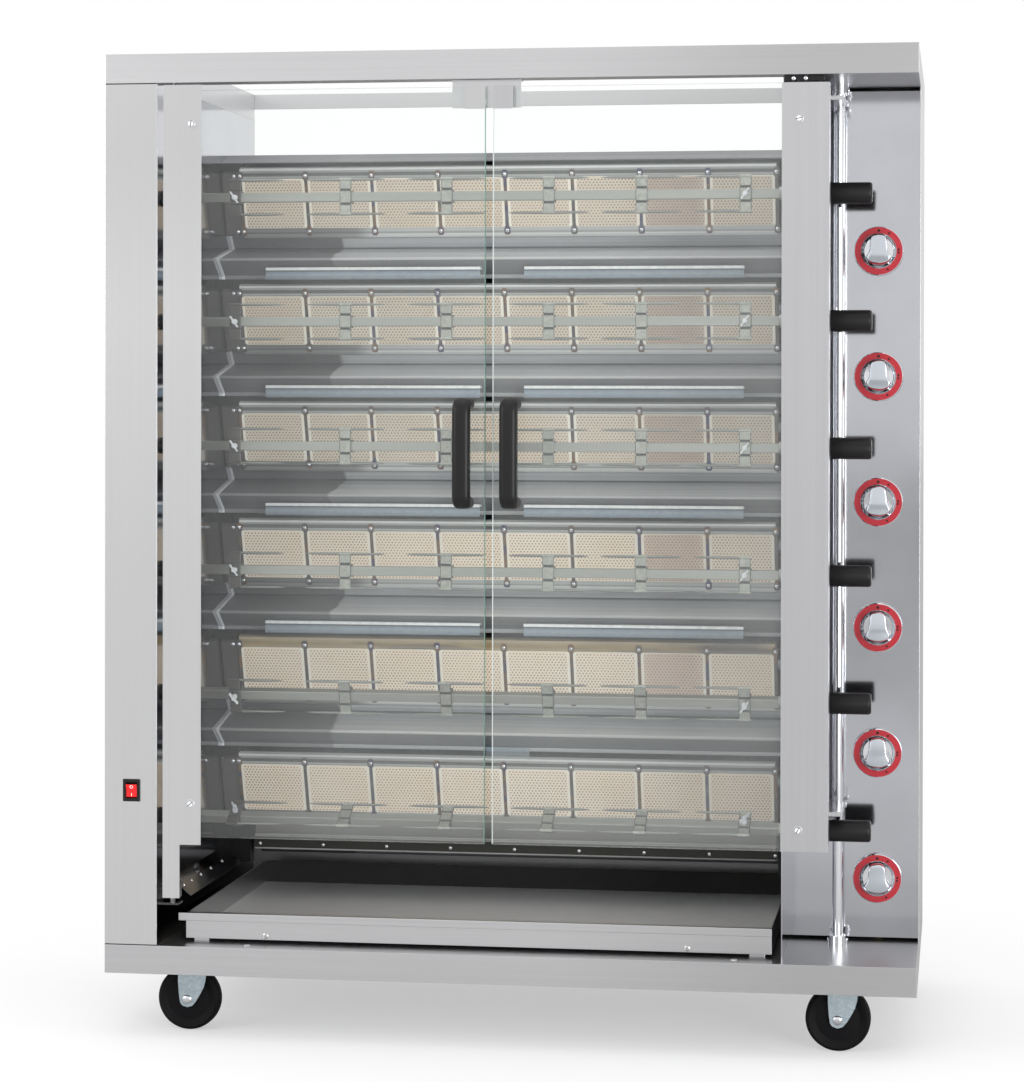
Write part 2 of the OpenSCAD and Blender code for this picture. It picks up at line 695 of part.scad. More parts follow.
module grip(n) place() color("#1e1c1b") at_spit(n) difference() {
    translate([wall_r + grip_reach - grip_l, 0, 0]) rotate([0, 90, 0]) rotate_extrude() union() {
        square([grip_d / 2, grip_l - grip_round]);
        square([grip_d / 2 - grip_round, grip_l]);
        translate([grip_d / 2 - grip_round, grip_l - grip_round]) circle(grip_round);
    }
    block([wall_r + grip_reach - grip_l - past, -bar_s / 2 - run, -bar_s / 2 - run],
          [bar_end + run, bar_s / 2 + run, bar_s / 2 + run]);
}

// Knobs: a ringed skirt, a waisted bar and the tap's stem
skirt_t = 6;
knob_gap = 1;        // gap from a knob to its panel
ring_w = 11;
waist_side = 8;      // how far the waist's arcs are centred outside the skirt
waist_in = 5;
module knob(n) place() color("lightgray") translate([knob_x, recess_d, knob_z(n)]) {
    rod_y(-knob_gap - skirt_t, -knob_gap, knob_d);
    rod_y(-knob_gap - past, sheet + stem_in, stem_d);
    translate([0, -knob_gap - skirt_t / 2, 0]) rotate([90, 0, 0])
        linear_extrude(knob_out - knob_gap - skirt_t / 2) difference() {
            circle(d = knob_d - 2 * ring_w);
            for (e = [-1, 1])
                translate([e * (knob_d / 2 + waist_side), 0]) circle(r = knob_d / 2 - waist_in);
        }
}

// Switch
switch_x = 40;
bezel_out = 2;
bezel_deep = 24;
well_deep = 12;
rocker_w = switch_w - 9;
rocker_h = switch_h - 10;
rocker_tilt = 8;
rocker_y = 3;        // depth of the rocker's pivot
rocker_nose = 5.5;   // how far its ends stand before the pivot
rocker_waist = 3.6;
rocker_back = 4;
module switch_bezel() place() color("#202020") translate([switch_x, 0, switch_z]) difference() {
    union() {
        block([-switch_w / 2, -bezel_out, -switch_h / 2], [switch_w / 2, 0, switch_h / 2]);
        block([-switch_w / 2 + bezel_rim + run, -bezel_out / 2, -switch_h / 2 + bezel_rim + run],
              [switch_w / 2 - bezel_rim - run, bezel_deep, switch_h / 2 - bezel_rim - run]);
    }
    block([-rocker_w / 2 - gap, -bezel_out - past, -rocker_h / 2 - gap],
          [rocker_w / 2 + gap, well_deep, rocker_h / 2 + gap]);
}
module rocker() place() color("red") translate([switch_x, rocker_y, switch_z])
    rotate([rocker_tilt, 0, 0]) intersection() {
        along_x(-rocker_w / 2, rocker_w / 2)
            polygon([[-rocker_nose, -rocker_h / 2 + 1], [-rocker_waist, 0],
                     [-rocker_nose, rocker_h / 2 - 1], [rocker_back, rocker_back],
                     [rocker_back, -rocker_back]]);
        rod_x(-rocker_w, rocker_w, rocker_h - 1);
    }

// Drip tray: a pan with a hollow front wall
tray_x0 = wall_l + tray_left;
tray_x1 = wall_r - tray_right;
tray_y1 = body_d - tray_back;
tray_front = 14;     // thickness of the hollow front wall
module drip_tray() place() color("gray") difference() {
    block([tray_x0, tray_y, tray_z], [tray_x1, tray_y1, tray_z + tray_h]);
    block([tray_x0 + sheet, tray_y + tray_front, tray_z + sheet],
          [tray_x1 - sheet, tray_y1 - sheet, tray_z + tray_h + past]);
    block([tray_x0 + sheet, tray_y + sheet, tray_z - past],
          [tray_x1 - sheet, tray_y + tray_front - sheet, tray_z + tray_h - sheet]);
}

// Doors
meet_x = chamber_mid + meet_shift;
left_free = meet_x - pane_gap / 2;
right_free = meet_x + pane_gap / 2;
right_x1 = wall_r + right_edge;
post_x = wall_r + post_in;
screw_d = 12;        // head of a stile's screw
screw_h = 3;
pivot_lap = 8;       // how far the pivot blocks reach behind the pivot
pivot_block = 24;    // height of a pivot block
clip_s = [29, 33];
module clip(x) {
    foot = glass_top + gap + sheet;
    along_x(x - clip_s[0] / 2, x + clip_s[0] / 2)
        ribbon([[glass_y - sheet, foot - clip_s[1]], [glass_y - sheet, foot], [catch_y - gap, foot],
                [catch_y - gap, foot - clip_s[1] + rim]], -sheet);
}
module stile_screw(x, z) {
    translate([x, 0, z]) rod_y(door_y - screw_h, (door_y + glass_y) / 2, screw_d);
}
left_screw = [15, 48];
module left_stile() place() color("gainsboro") {
    union() {
        block([door_left, door_y, left_stile_z], [door_left + left_stile_w, glass_y, door_top]);
        block([door_left, door_y, tail_z], [door_left + tail_w, glass_y, door_top]);
        block([door_left, door_y, tail_z], [door_left + sheet, pivot_y + pivot_lap, door_top]);
        for (z = [tail_z, door_top - pivot_block])
            block([door_left + sheet / 2, door_y + sheet, z],
                  [door_left + tail_w - 2, pivot_y + pivot_lap - 1, z + pivot_block]);
        translate([pivot_x, pivot_y, 0]) {
            rod_z(door_top - past, soffit + sheet, pin_d);
            rod_z(shelf_z - shelf_t - past, tail_z + past, pin_d);
        }
        for (z = [glass_z + left_screw[1], glass_top - left_screw[1]])
            stile_screw(door_left + left_stile_w - left_screw[0], z);
    }
    clip(left_free - clip_s[0] / 2);
}
module left_glass() place() color("lightblue", 0.4)
    block([door_left + tail_w + 2, glass_y, glass_z], [left_free, glass_y + glass_t, glass_top]);
stile_lap = 18;      // how far the pane ends inside the right stile
module right_glass() place() color("lightblue", 0.4)
    block([right_free, glass_y, glass_z], [right_x1 - stile_lap, glass_y + glass_t, glass_top]);
arm_t = 6;
arm_wide = 16;
arm_low = 42;
arm_high = 30;
arm_eye = 26;
arm_turn = 60;       // depth at which an arm turns towards the post
arm_past = 10;       // how far it reaches past the post
stile_down = 8;      // how far the right stile ends below the left one
stile_deep = 36;
right_screw = [42, 30, 50];
module door_arm(z) difference() {
    union() {
        block([right_x1 - arm_wide, door_y + sheet / 2, z],
              [right_x1 - sheet / 2, glass_y + arm_turn + arm_t, z + arm_t]);
        block([right_x1 - arm_wide, glass_y + arm_turn, z], [post_x + arm_past, post_y, z + arm_t]);
        translate([post_x, post_y, 0]) rod_z(z, z + arm_t, arm_eye);
    }
    translate([post_x, post_y, 0]) rod_z(z - past, z + arm_t + past, post_d + 2 * run);
}
module right_stile() place() color("gainsboro") {
    union() {
        block([right_x1 - right_stile_w, door_y, glass_z], [right_x1, glass_y, door_top - stile_down]);
        block([right_x1 - sheet, door_y, glass_z],
              [right_x1, glass_y + stile_deep, door_top - stile_down]);
        for (z = [glass_z + arm_low, soffit - arm_high]) door_arm(z);
        stile_screw(right_x1 - right_screw[0], glass_z + right_screw[1]);
        stile_screw(right_x1 - right_screw[0], glass_top - right_screw[2]);
    }
    clip(right_free + clip_s[0] / 2);
}
module hinge_post() place() color("white")
    translate([post_x, post_y, 0]) rod_z(base_h + gap, soffit - gap, post_d);
collar_d = 27;
collar_h = 14;
module post_bearings() place() color("silver")
    for (z = [base_h, soffit - collar_h]) translate([post_x, post_y, 0]) difference() {
        rod_z(z, z + collar_h, collar_d);
        rod_z(z - past, z + collar_h + past, post_d + 2 * run);
    }
bow_r = 14;          // rounding of a handle's outer corners
bow_t = 16;          // thickness of its grip
bow_foot = 20;       // height of its feet
module bow_handle(x) {
    translate([x - handle_w / 2, glass_y, handle_z - handle_l / 2]) rotate([90, 0, 90])
        linear_extrude(handle_w) difference() {
            union() {
                translate([bow_r - handle_out, bow_r]) circle(bow_r);
                translate([bow_r - handle_out, handle_l - bow_r]) circle(bow_r);
                translate([-handle_out, bow_r]) square([handle_out, handle_l - 2 * bow_r]);
                translate([bow_r - handle_out, 0]) square([handle_out - bow_r, handle_l]);
            }
            translate([bow_t - handle_out, bow_foot]) square([handle_out, handle_l - 2 * bow_foot]);
        }
}
module left_handle() place() color("#1e1c1b") bow_handle(left_free - handle_in);
module right_handle() place() color("#1e1c1b") bow_handle(right_free + handle_in);

// Castors: a fork that swivels about its kingpin and a wheel on its axle
axle_d = 8;
axle_out = 4;        // how far an axle stands out of its fork
axle_z = wheel_d / 2 - floor_gap;
leg_t = 2.5;
fork_in = wheel_w + 4;
fork_top = plate_up - castor_plate_t - gap - run;
crown_s = 21;        // half the length of the fork's crown
crown_t = 3;
yoke_h = 16;         // height of the legs' upper, full-width part
eye_r = 14;          // half width of a leg at its axle
eye_side = 4;        // how far its sides run below the axle
eye_low = 11;        // how far it ends below the axle
eye_tip = 7;         // half width of its lower end
leg_bend = [16, 20]; // bend of its rear edge, from the axle
race_d = 30;
module castor_leg() difference() {
    polygon([[-crown_s, fork_top - crown_t], [crown_s, fork_top - crown_t],
             [crown_s, fork_top - yoke_h], [eye_r - trail, axle_z - eye_side],
             [eye_tip - trail, axle_z - eye_low], [-eye_tip - trail, axle_z - eye_low],
             [-eye_r - trail, axle_z - eye_side], [-leg_bend[0] - trail, axle_z + leg_bend[1]],
             [-crown_s, fork_top - yoke_h]]);
    translate([-trail, axle_z]) circle(d = axle_d + 2 * run);
}
module castor_fork(ix, iy) place() color("lightsteelblue")
    translate([castor_x[ix], castor_y[iy], 0]) {
        for (e = [-1, 1]) translate([0, e * (fork_in + leg_t) / 2 + leg_t / 2, 0])
            rotate([90, 0, 0]) linear_extrude(leg_t) castor_leg();
        block([-crown_s, -fork_in / 2 - leg_t, fork_top - crown_t - past],
              [crown_s, fork_in / 2 + leg_t, fork_top]);
        rod_z(0, plate_up + castor_rail_t, king_d);
        rod_z(0, fork_top - crown_t, race_d);
    }
wheel_r = wheel_d / 2;
wheel_hub_r = 14;
tyre_edge = 7;
tyre_side = 2;
module castor_wheel(ix, iy) place() color("#161616")
    translate([castor_x[ix] - trail, castor_y[iy], axle_z]) {
        rotate([90, 0, 0]) translate([0, 0, -wheel_w / 2]) rotate_extrude($fn = 96) polygon([
            [0, 0], [wheel_hub_r, 0], [wheel_hub_r, tyre_side],
            [wheel_r - 2 * tyre_edge, tyre_edge - tyre_side], [wheel_r - tyre_edge, 0],
            [wheel_r - tyre_side, tyre_side], [wheel_r, tyre_edge],
            [wheel_r, wheel_w - tyre_edge], [wheel_r - tyre_side, wheel_w - tyre_side],
            [wheel_r - tyre_edge, wheel_w], [wheel_r - 2 * tyre_edge, wheel_w - tyre_edge + tyre_side],
            [wheel_hub_r, wheel_w - tyre_side], [wheel_hub_r, wheel_w], [0, wheel_w]]);
        rod_y(-fork_in / 2 - leg_t - axle_out, fork_in / 2 + leg_t + axle_out, axle_d);
    }

base_frame();
roof_frame();
drive_front_panel();
side_panels();
left_inner_wall();
right_inner_wall();
control_panel();
back_panel();
burner_uprights();
burners();
ceramic_tiles();
tile_rails();
deflectors();
gas_manifold();
gear_motor();
motor_sprocket();
drive_chain();
post_bearings();
switch_bezel();
rocker();
drip_tray();
left_glass();
left_stile();
left_handle();
right_glass();
right_stile();
right_handle();
hinge_post();
for (n = [1 : tiers]) {
    spit(n);
    grip(n);
    hub(n);
    knob(n);
}
castor_fork(0, 0);  // fork_front_left
castor_fork(1, 0);  // fork_front_right
castor_fork(0, 1);  // fork_rear_left
castor_fork(1, 1);  // fork_rear_right
castor_wheel(0, 0);  // wheel_front_left
castor_wheel(1, 0);  // wheel_front_right
castor_wheel(0, 1);  // wheel_rear_left
castor_wheel(1, 1);  // wheel_rear_right
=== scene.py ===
# %% [markdown]
# # A gas chicken rotisserie
# Six spits turn one above another in front of six rows of ceramic burners. Almost all of the
# machine is folded stainless sheet, so most of its looks come from what the steel mirrors: white
# studio walls outside, dark corners and warm ceramic inside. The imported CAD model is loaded
# first and stays where it is. Its plain sheets get a finish and broken edges, and the pieces
# that the eye stops at, such as knobs, forks, tiles and screws, are modelled anew around it.

# %% Load the frame
import math
from contextlib import contextmanager

import bmesh
import bpy
from mathutils import Matrix, Vector


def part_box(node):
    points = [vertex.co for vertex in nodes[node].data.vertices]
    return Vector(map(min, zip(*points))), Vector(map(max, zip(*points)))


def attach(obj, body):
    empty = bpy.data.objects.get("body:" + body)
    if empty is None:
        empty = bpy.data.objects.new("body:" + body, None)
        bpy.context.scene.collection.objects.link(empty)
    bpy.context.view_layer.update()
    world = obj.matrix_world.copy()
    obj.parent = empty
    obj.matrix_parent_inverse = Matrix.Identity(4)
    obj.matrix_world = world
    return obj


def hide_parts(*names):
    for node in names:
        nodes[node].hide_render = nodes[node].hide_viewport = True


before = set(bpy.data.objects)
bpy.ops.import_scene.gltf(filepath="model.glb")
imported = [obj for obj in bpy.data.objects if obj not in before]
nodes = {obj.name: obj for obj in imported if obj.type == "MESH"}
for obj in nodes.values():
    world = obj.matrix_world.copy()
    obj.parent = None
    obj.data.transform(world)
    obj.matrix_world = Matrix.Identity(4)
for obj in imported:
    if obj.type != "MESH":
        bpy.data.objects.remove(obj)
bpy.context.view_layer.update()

# %% [markdown]
# ## The drawing
# Blender works in metres about the middle of the machine. A workshop drawing works in
# millimetres from one corner, here the front left corner of the base, with X to the right, Y
# to the back and Z up. One small function turns the second into the first, so every number
# below can be read as a size on the drawing.

# %% Drawing sizes
MM = 0.001
TIERS, PITCH = 6, 182
ROWS = range(1, TIERS + 1)
LEFT_WALL, RIGHT_WALL, BACK = 77, 971, 600
GLASS_Y, SPIT_Y, PANEL_Y, BURNER_Y = 3, 119, 205, 392
LEAN = math.radians(20)
CORNER = Vector((580, 291, -92))  # from the drawing's corner to the middle of the floor


def at(x, y, z):
    """A point of the drawing, in the frame's metres."""
    return (Vector((x, y, z)) - CORNER) * MM


def drawn(point):
    """A point of the frame, in the drawing's millimetres."""
    return Vector(point) / MM + CORNER


def turned(degrees, axis):
    return Matrix.Rotation(math.radians(degrees), 4, axis)


def spit_z(tier):
    return 212 + PITCH * (tier - 1)


print("spits at", [spit_z(tier) for tier in ROWS])

# %% [markdown]
# ## The camera
# The camera stands where the photograph was taken from: a little right of the middle, four
# metres away, at chest height. The lens looks almost level, and the view is shifted down
# instead of tilted, which keeps upright edges upright.

# %% Camera
camera = bpy.data.objects.new("camera", bpy.data.cameras.new("camera"))
bpy.context.scene.collection.objects.link(camera)
camera.location = (0.6403, -4.4889, 0.9274)
camera.rotation_euler = (turned(8.5095, "Z") @ turned(90 - 0.332, "X")
                         @ turned(0.1026, "Z")).to_euler()
camera.data.sensor_width, camera.data.lens = 36, 100.14
camera.data.shift_y = -130 / 1082
bpy.context.scene.camera = camera
bpy.context.scene.view_settings.view_transform = "Standard"
print("lens", camera.data.lens, "mm")

# %% [markdown]
# ## Shader maths
# A material is a net of nodes. Written out link by link it is long and hard to read, so one
# small class wraps an output socket and lets Python's + - * / add the Math nodes. A second
# class holds a node tree and adds any other node: mixes, ramps, steps and noise. A third is a
# whole material, and sets the sockets of its shader. Colours are written as the values that a
# picture shows, 0 to 255, and are turned into linear ones where they meet a socket.

# %% Signals
def shade(red, green, blue):
    """A colour as a picture shows it, 0 to 255, in the linear values that shaders take."""
    def linear(value):
        value /= 255
        return value / 12.92 if value <= 0.04045 else ((value + 0.055) / 1.055) ** 2.4
    return (linear(red), linear(green), linear(blue), 1.0)


class Signal:
    """An output socket that can be calculated with."""

    def __init__(self, board, socket):
        self.board, self.socket = board, socket

    def __add__(self, other):
        return self.board.maths("ADD", self, other)

    def __sub__(self, other):
        return self.board.maths("SUBTRACT", self, other)

    def __rsub__(self, other):
        return self.board.maths("SUBTRACT", other, self)

    def __mul__(self, other):
        return self.board.maths("MULTIPLY", self, other)

    def __truediv__(self, other):
        return self.board.maths("DIVIDE", self, other)

    def __rtruediv__(self, other):
        return self.board.maths("DIVIDE", other, self)

    __radd__, __rmul__ = __add__, __mul__


class Board:
    """A node tree that is filled from Python values and signals."""

    def __init__(self, tree):
        self.tree = tree

    def node(self, kind, sockets=None, out=0, **settings):
        """Add a node, set it, fill its sockets and return one of its outputs."""
        added = self.tree.nodes.new("ShaderNode" + kind)
        for name, value in settings.items():
            if name == "stops":
                while len(added.color_ramp.elements) < len(value):
                    added.color_ramp.elements.new(0.5)
                for element, (place, colour) in zip(added.color_ramp.elements, value):
                    element.position, element.color = place, shade(*colour)
            else:
                setattr(added, name, value)
        for key, value in (sockets or {}).items():
            self.plug(added.inputs[key], value)
        return Signal(self, added.outputs[out])

    def plug(self, socket, value):
        """Link a signal or set a value. A colour of three numbers is one of 0 to 255."""
        if isinstance(value, Signal):
            self.tree.links.new(value.socket, socket)
        elif socket.type == "RGBA" and len(value) == 3:
            socket.default_value = shade(*value)
        else:
            socket.default_value = value

    def maths(self, operation, *values):
        return self.node("Math", dict(enumerate(values)), operation=operation)

    def blend(self, factor, low, high):
        return self.node("Mix", {0: factor, 6: low, 7: high}, 2, data_type="RGBA")

    def ramp(self, value, stops):
        """A colour that follows a value through (place, colour) stops."""
        return self.node("ValToRGB", {0: value}, stops=stops)

    def step(self, value, low, high):
        """0 below low, 1 above high, smooth between."""
        return self.node("MapRange", {"Value": value, "From Min": low, "From Max": high},
                         interpolation_type="SMOOTHSTEP")

    def ray(self, kind):
        """1 on one kind of ray: Camera, Glossy or Transmission."""
        return self.node("LightPath", out=f"Is {kind} Ray")

    def place(self):
        return self.node("TexCoord", out="Object")

    def axes(self):
        """The Object coordinates as three signals, in metres."""
        split = self.node("SeparateXYZ", {0: self.place()})
        return [Signal(self, split.socket.node.outputs[i]) for i in range(3)]

    def noise(self, cycles, detail=3.0):
        """Noise whose cycles per metre differ along X, Y and Z, which makes grain and streaks."""
        where = self.node("Mapping", {"Vector": self.place(), "Scale": cycles})
        return self.node("TexNoise", {"Vector": where, "Scale": 1.0, "Detail": detail,
                                      "Roughness": 0.55})

    def cells(self, scale):
        """One random number for each crystal, as zinc has them."""
        crystals = self.node("TexVoronoi", {"Vector": self.place(), "Scale": scale}, "Color")
        return self.node("SeparateColor", {0: crystals})


print("grey 205 is", round(shade(205, 205, 205)[0], 3), "linear")


# %% Finishes
class Finish(Board):
    """A material with one Principled shader."""

    def __init__(self, name, **sockets):
        self.material = bpy.data.materials.new(name)
        self.material.use_nodes = True
        super().__init__(self.material.node_tree)
        self.shader = self.tree.nodes["Principled BSDF"]
        self.set(**sockets)

    def set(self, **sockets):
        for name, value in sockets.items():
            self.plug(self.shader.inputs[name.replace("_", " ")], value)

    def bump(self, height, strength, distance):
        self.set(Normal=self.node("Bump", {"Height": height, "Strength": strength,
                                           "Distance": distance}))

    def mix(self, factor, first, second):
        return self.node("MixShader", {0: factor, 1: first, 2: second})

    def show(self, shader):
        self.plug(self.tree.nodes["Material Output"].inputs["Surface"], shader)


print("a finish sets sockets such as Base_Color, Metallic and Roughness")

# %% [markdown]
# ## Light and floor
# A product photograph of steel is lit by large white surfaces. The world plays them: every ray
# that a camera, a mirror or a pane of glass sends out meets plain white, while the light that
# falls on dull surfaces is held lower, so that colours come out as they were written. Three
# soft area lamps give the light a direction. The floor is a grey sheet to the steel that mirrors
# it. To the camera it is white paper that keeps a soft shadow near the machine and turns to pure
# white a few steps away.

# %% World
DULL_LIGHT = 0.92
world = bpy.data.worlds.new("studio")
bpy.context.scene.world = world
world.use_nodes = True
sky = Board(world.node_tree)
seen = sky.maths("MINIMUM", sky.ray("Camera") + sky.ray("Glossy") + sky.ray("Transmission"), 1.0)
backdrop = world.node_tree.nodes["Background"]
sky.plug(backdrop.inputs["Color"], (1, 1, 1, 1))
sky.plug(backdrop.inputs["Strength"], sky.node("Mix", {0: seen, 2: DULL_LIGHT, 3: 1.0}))
print("dull surfaces get", DULL_LIGHT, "of white")


# %% Lamps
def soft_lamp(name, place, aim, size, power):
    """A square area lamp that looks at a point."""
    lamp = bpy.data.objects.new(name, bpy.data.lights.new(name, "AREA"))
    lamp.data.shape, lamp.data.size, lamp.data.energy = "SQUARE", size, power
    lamp.location = place
    lamp.rotation_euler = (Vector(aim) - Vector(place)).to_track_quat("-Z", "Y").to_euler()
    bpy.context.scene.collection.objects.link(lamp)


soft_lamp("key", (-4.0, -3.2, 2.4), (0, 0, 0.8), 2.5, 70)
soft_lamp("fill", (3.0, -3.8, 0.6), (0, 0, 0.4), 2.2, 125)
soft_lamp("top", (0, -0.6, 4.4), (0, 0, 0.5), 2.5, 12)


# %% Floor
def primitive(name, operator, **values):
    """Add a primitive with its operator, and name it."""
    bpy.ops.object.select_all(action="DESELECT")
    operator(**values)
    bpy.context.object.name = name
    return bpy.context.object


floor = primitive("floor", bpy.ops.mesh.primitive_circle_add, vertices=96, radius=40,
                  fill_type="NGON")
paper = Finish("floor_paper", Roughness=0.8)
paper.set(Base_Color=paper.blend(paper.ray("Glossy"), (0.95, 0.95, 0.95, 1), (0.6, 0.6, 0.6, 1)))
far = paper.node("VectorMath", {0: paper.place()}, "Value", operation="LENGTH")
glow = paper.node("Emission", {"Color": (1, 1, 1, 1), "Strength": 1.0})
bright = paper.node("BsdfDiffuse", {"Color": (0.98, 0.98, 0.98, 1)})
faded = paper.mix(paper.step(far, 0.5, 1.4) * 0.55 + 0.45, bright, glow)
paper.show(paper.mix(paper.ray("Camera"), Signal(paper, paper.shader.outputs[0]), faded))
floor.data.materials.append(paper.material)
print("floor of", round(floor.dimensions.x), "m")

# %% [markdown]
# ## The steels
# Brushed stainless is a mirror full of fine parallel scratches, so its noise is drawn out
# along one axis and shows in colour, roughness and relief at once. The chamber's walls are
# polished: nearly clean mirrors with a slight warp. Galvanised zinc has small crystals, which
# a Voronoi texture draws.

# %% Brushed and polished steel
def brushed(name, dark, light, cycles, rough=0.3, relief=0.05, dim=None):
    """Scratched steel. dim paints shade, greying it along an axis: axis, start, end and how much.
    """
    finish = Finish(name, Metallic=1.0)
    lines = finish.noise(cycles, 2.0)
    cloud = finish.noise((2.5, 2.5, 2.5), 2.0)
    tone = finish.blend(lines * 0.65 + cloud * 0.35, dark, light)
    if dim:
        axis, start, end, share = dim
        greyed = finish.step(finish.axes()[axis], start, end) * share
        tone = finish.blend(greyed, tone, (150, 150, 151))
    finish.set(Base_Color=tone, Roughness=lines * 0.08 + (rough - 0.04))
    finish.bump(lines, relief, 0.0002)
    return finish.material


def polished(name, dark, light, rough=0.1, warp=0.25, dim=False):
    """A nearly clean mirror. dim paints a dark reflection near the floor, most at the left, for
    the dark pan that it mirrors.
    """
    finish = Finish(name, Metallic=1.0)
    haze = finish.noise((9, 9, 9), 4.0)
    tone = finish.blend(haze, dark, light)
    if dim:
        x, _, z = finish.axes()
        low = 1.0 - finish.step(z, 0.2, 0.28)
        left = 1.0 - finish.step(x, -0.4, -0.3)
        # painted dark reflection: low on the wall the steel turns towards (50, 48, 46)
        tone = finish.blend(low * (left * 0.73 + 0.12), tone, (50, 48, 46))
    finish.set(Base_Color=tone, Roughness=haze * 0.08 + (rough - 0.04))
    finish.bump(finish.noise((5, 5, 5), 1.0), warp, 0.004)
    return finish.material


ALONG_X, ALONG_Z = (1.5, 420, 420), (420, 420, 1.5)
# painted shade: the roof and base steel greys towards the right
steel_across = brushed("stainless_across", (198, 198, 200), (217, 217, 218), ALONG_X,
                       dim=(0, 0.0, 0.5, 0.44))
# painted light: a lighter copy of the upright steel for the left panel and left stile, with
# painted shade at its top
steel_left = brushed("stainless_left", (212, 212, 213), (222, 222, 223), ALONG_Z,
                     dim=(2, 1.0, 1.3, 0.25))
steel_upright = brushed("stainless_upright", (188, 188, 190), (204, 204, 206), ALONG_Z)
# the walls and the control panel carry the painted dark reflection near the floor
wall_steel = polished("wall_steel", (182, 183, 187), (203, 204, 210), dim=True)
steel_mirror = polished("steel_mirror", (182, 182, 180), (206, 206, 203))
knob_face = polished("knob_face", (196, 202, 210), (210, 215, 221), 0.14, 0.02)
satin = brushed("satin_steel", (160, 162, 157), (184, 185, 179), ALONG_X, 0.34, 0.04)
chrome = polished("chrome", (214, 216, 220), (232, 233, 236), 0.06, 0.02)
dark_steel = brushed("dark_steel", (46, 46, 47), (72, 72, 73), (200, 200, 200), 0.42)
print("steels:", len(bpy.data.materials), "materials so far")


# %% Zinc, casting and brass
def rail_painted_light_and_heat():
    """Rail steel with painted reflections: each bend mirrors another part of the chamber, so a
    painted tone follows the height up the leaning row, with painted shade at the left. The
    upper rail of the second row has the golden bloom of heat.
    """
    foot, half, whole = 0.17407, 85.5, 171.02  # the first row's foot in m, a row in mm
    finish = Finish("rail_steel", Metallic=0.4)
    x, y, z = finish.axes()
    up = (z * math.cos(LEAN) - y * math.sin(LEAN) - foot) / (PITCH * MM * math.cos(LEAN))
    up = finish.maths("FRACT", up)
    # painted reflections and highlights: (millimetres from the middle of a row, tone)
    tones = ((-58, 110), (-56, 130), (-54.5, 205), (-49.5, 232), (-48.5, 168), (-46.8, 168),
             (-45.6, 205), (-41, 200), (0, 150), (40, 150), (42.6, 196), (44, 196), (44.6, 96),
             (49.6, 100), (50.4, 176), (53.4, 190), (54.2, 252), (58, 252))
    painted_reflection = finish.ramp(up, [((mm + half) / whole, (t, min(t + 2, 255), t))
                                for mm, t in tones])
    lines = finish.noise((1.2, 60, 260), 2.0)
    # painted shade: left of x = -0.3 m the lower part of each row darkens towards (52, 52, 54)
    left = (1.0 - finish.step(x, -0.3, -0.26)) * (1.0 - finish.step(up, 0.4, 0.6)) * 0.62
    plain = finish.blend(finish.step(lines, 0.3, 0.8) * 0.4, painted_reflection, (140, 142, 138))
    plain = finish.blend(left, plain, (52, 52, 54))
    bloom = finish.ramp(finish.noise((5, 40, 40), 2.0),
                        [(0.35, (112, 98, 86)), (0.48, (190, 166, 118)), (0.7, (160, 134, 98))])
    second_row = finish.step(z, 0.524, 0.528) * (1.0 - finish.step(z, 0.552, 0.556))
    finish.set(Base_Color=finish.blend(second_row * 0.8, plain, bloom),
               Roughness=lines * 0.1 + 0.3)
    return finish.material


def galvanised(name, dark, light, crystals):
    finish = Finish(name, Metallic=1.0)
    tone = finish.cells(crystals) * 0.6
    cloud = finish.noise((14, 14, 14), 3.0)
    finish.set(Base_Color=finish.blend(tone + cloud * 0.4, dark, light),
               Roughness=cloud * 0.2 + 0.26)
    finish.bump(tone, 0.08, 0.0002)
    return finish.material


def cast(name, dark, light, metal, rough, cycles=260, specular=0.5):
    """A grainy skin: die castings, moulded plastic and rubber."""
    finish = Finish(name, Metallic=metal, Specular_IOR_Level=specular)
    skin = finish.noise((cycles, cycles, cycles), 4.0)
    cloud = finish.noise((12, 12, 12), 2.0)
    finish.set(Base_Color=finish.blend(cloud * 0.6 + skin * 0.4, dark, light),
               Roughness=skin * 0.16 + (rough - 0.08))
    finish.bump(skin, 0.15, 0.0003)
    return finish.material


rail_steel = rail_painted_light_and_heat()
zinc_fork = galvanised("zinc_plate", (158, 160, 152), (192, 194, 186), 300)
zinc_castor = galvanised("zinc_castor", (164, 178, 186), (196, 208, 214), 300)
casting = cast("motor_casting", (104, 108, 114), (136, 140, 146), 0.7, 0.5)
brass = cast("brass", (176, 150, 92), (208, 182, 120), 1.0, 0.32)
aluminised = galvanised("aluminised", (150, 152, 154), (182, 184, 186), 120)
black_plastic = cast("black_plastic", (16, 15, 16), (27, 25, 26), 0.0, 0.4, specular=0.3)
rubber = cast("rubber", (6, 6, 8), (14, 14, 17), 0.0, 0.62, specular=0.15)
tray_dark = cast("tray_floor", (212, 212, 212), (220, 220, 220), 0.1, 0.5, 60)
# painted shade: a dark finish for the tray's back wall, for the dark that it mirrors
painted_tray_shade = cast("painted_tray_shade", (44, 42, 42), (62, 60, 60), 0.0, 0.5, 60, specular=0.15)
red_plastic = cast("red_plastic", (214, 12, 16), (234, 26, 28), 0.0, 0.22, 120)
print(len(bpy.data.materials), "materials so far")

# %% [markdown]
# ## Glass
# Toughened glass seen head-on is clear, mirrors a little, and more at a slant. A Fresnel node
# gives that share, and it mixes a clear shader with a glossy one. A trace of white film, as
# fat and washing leave, lifts the darks behind the pane as in the photograph.

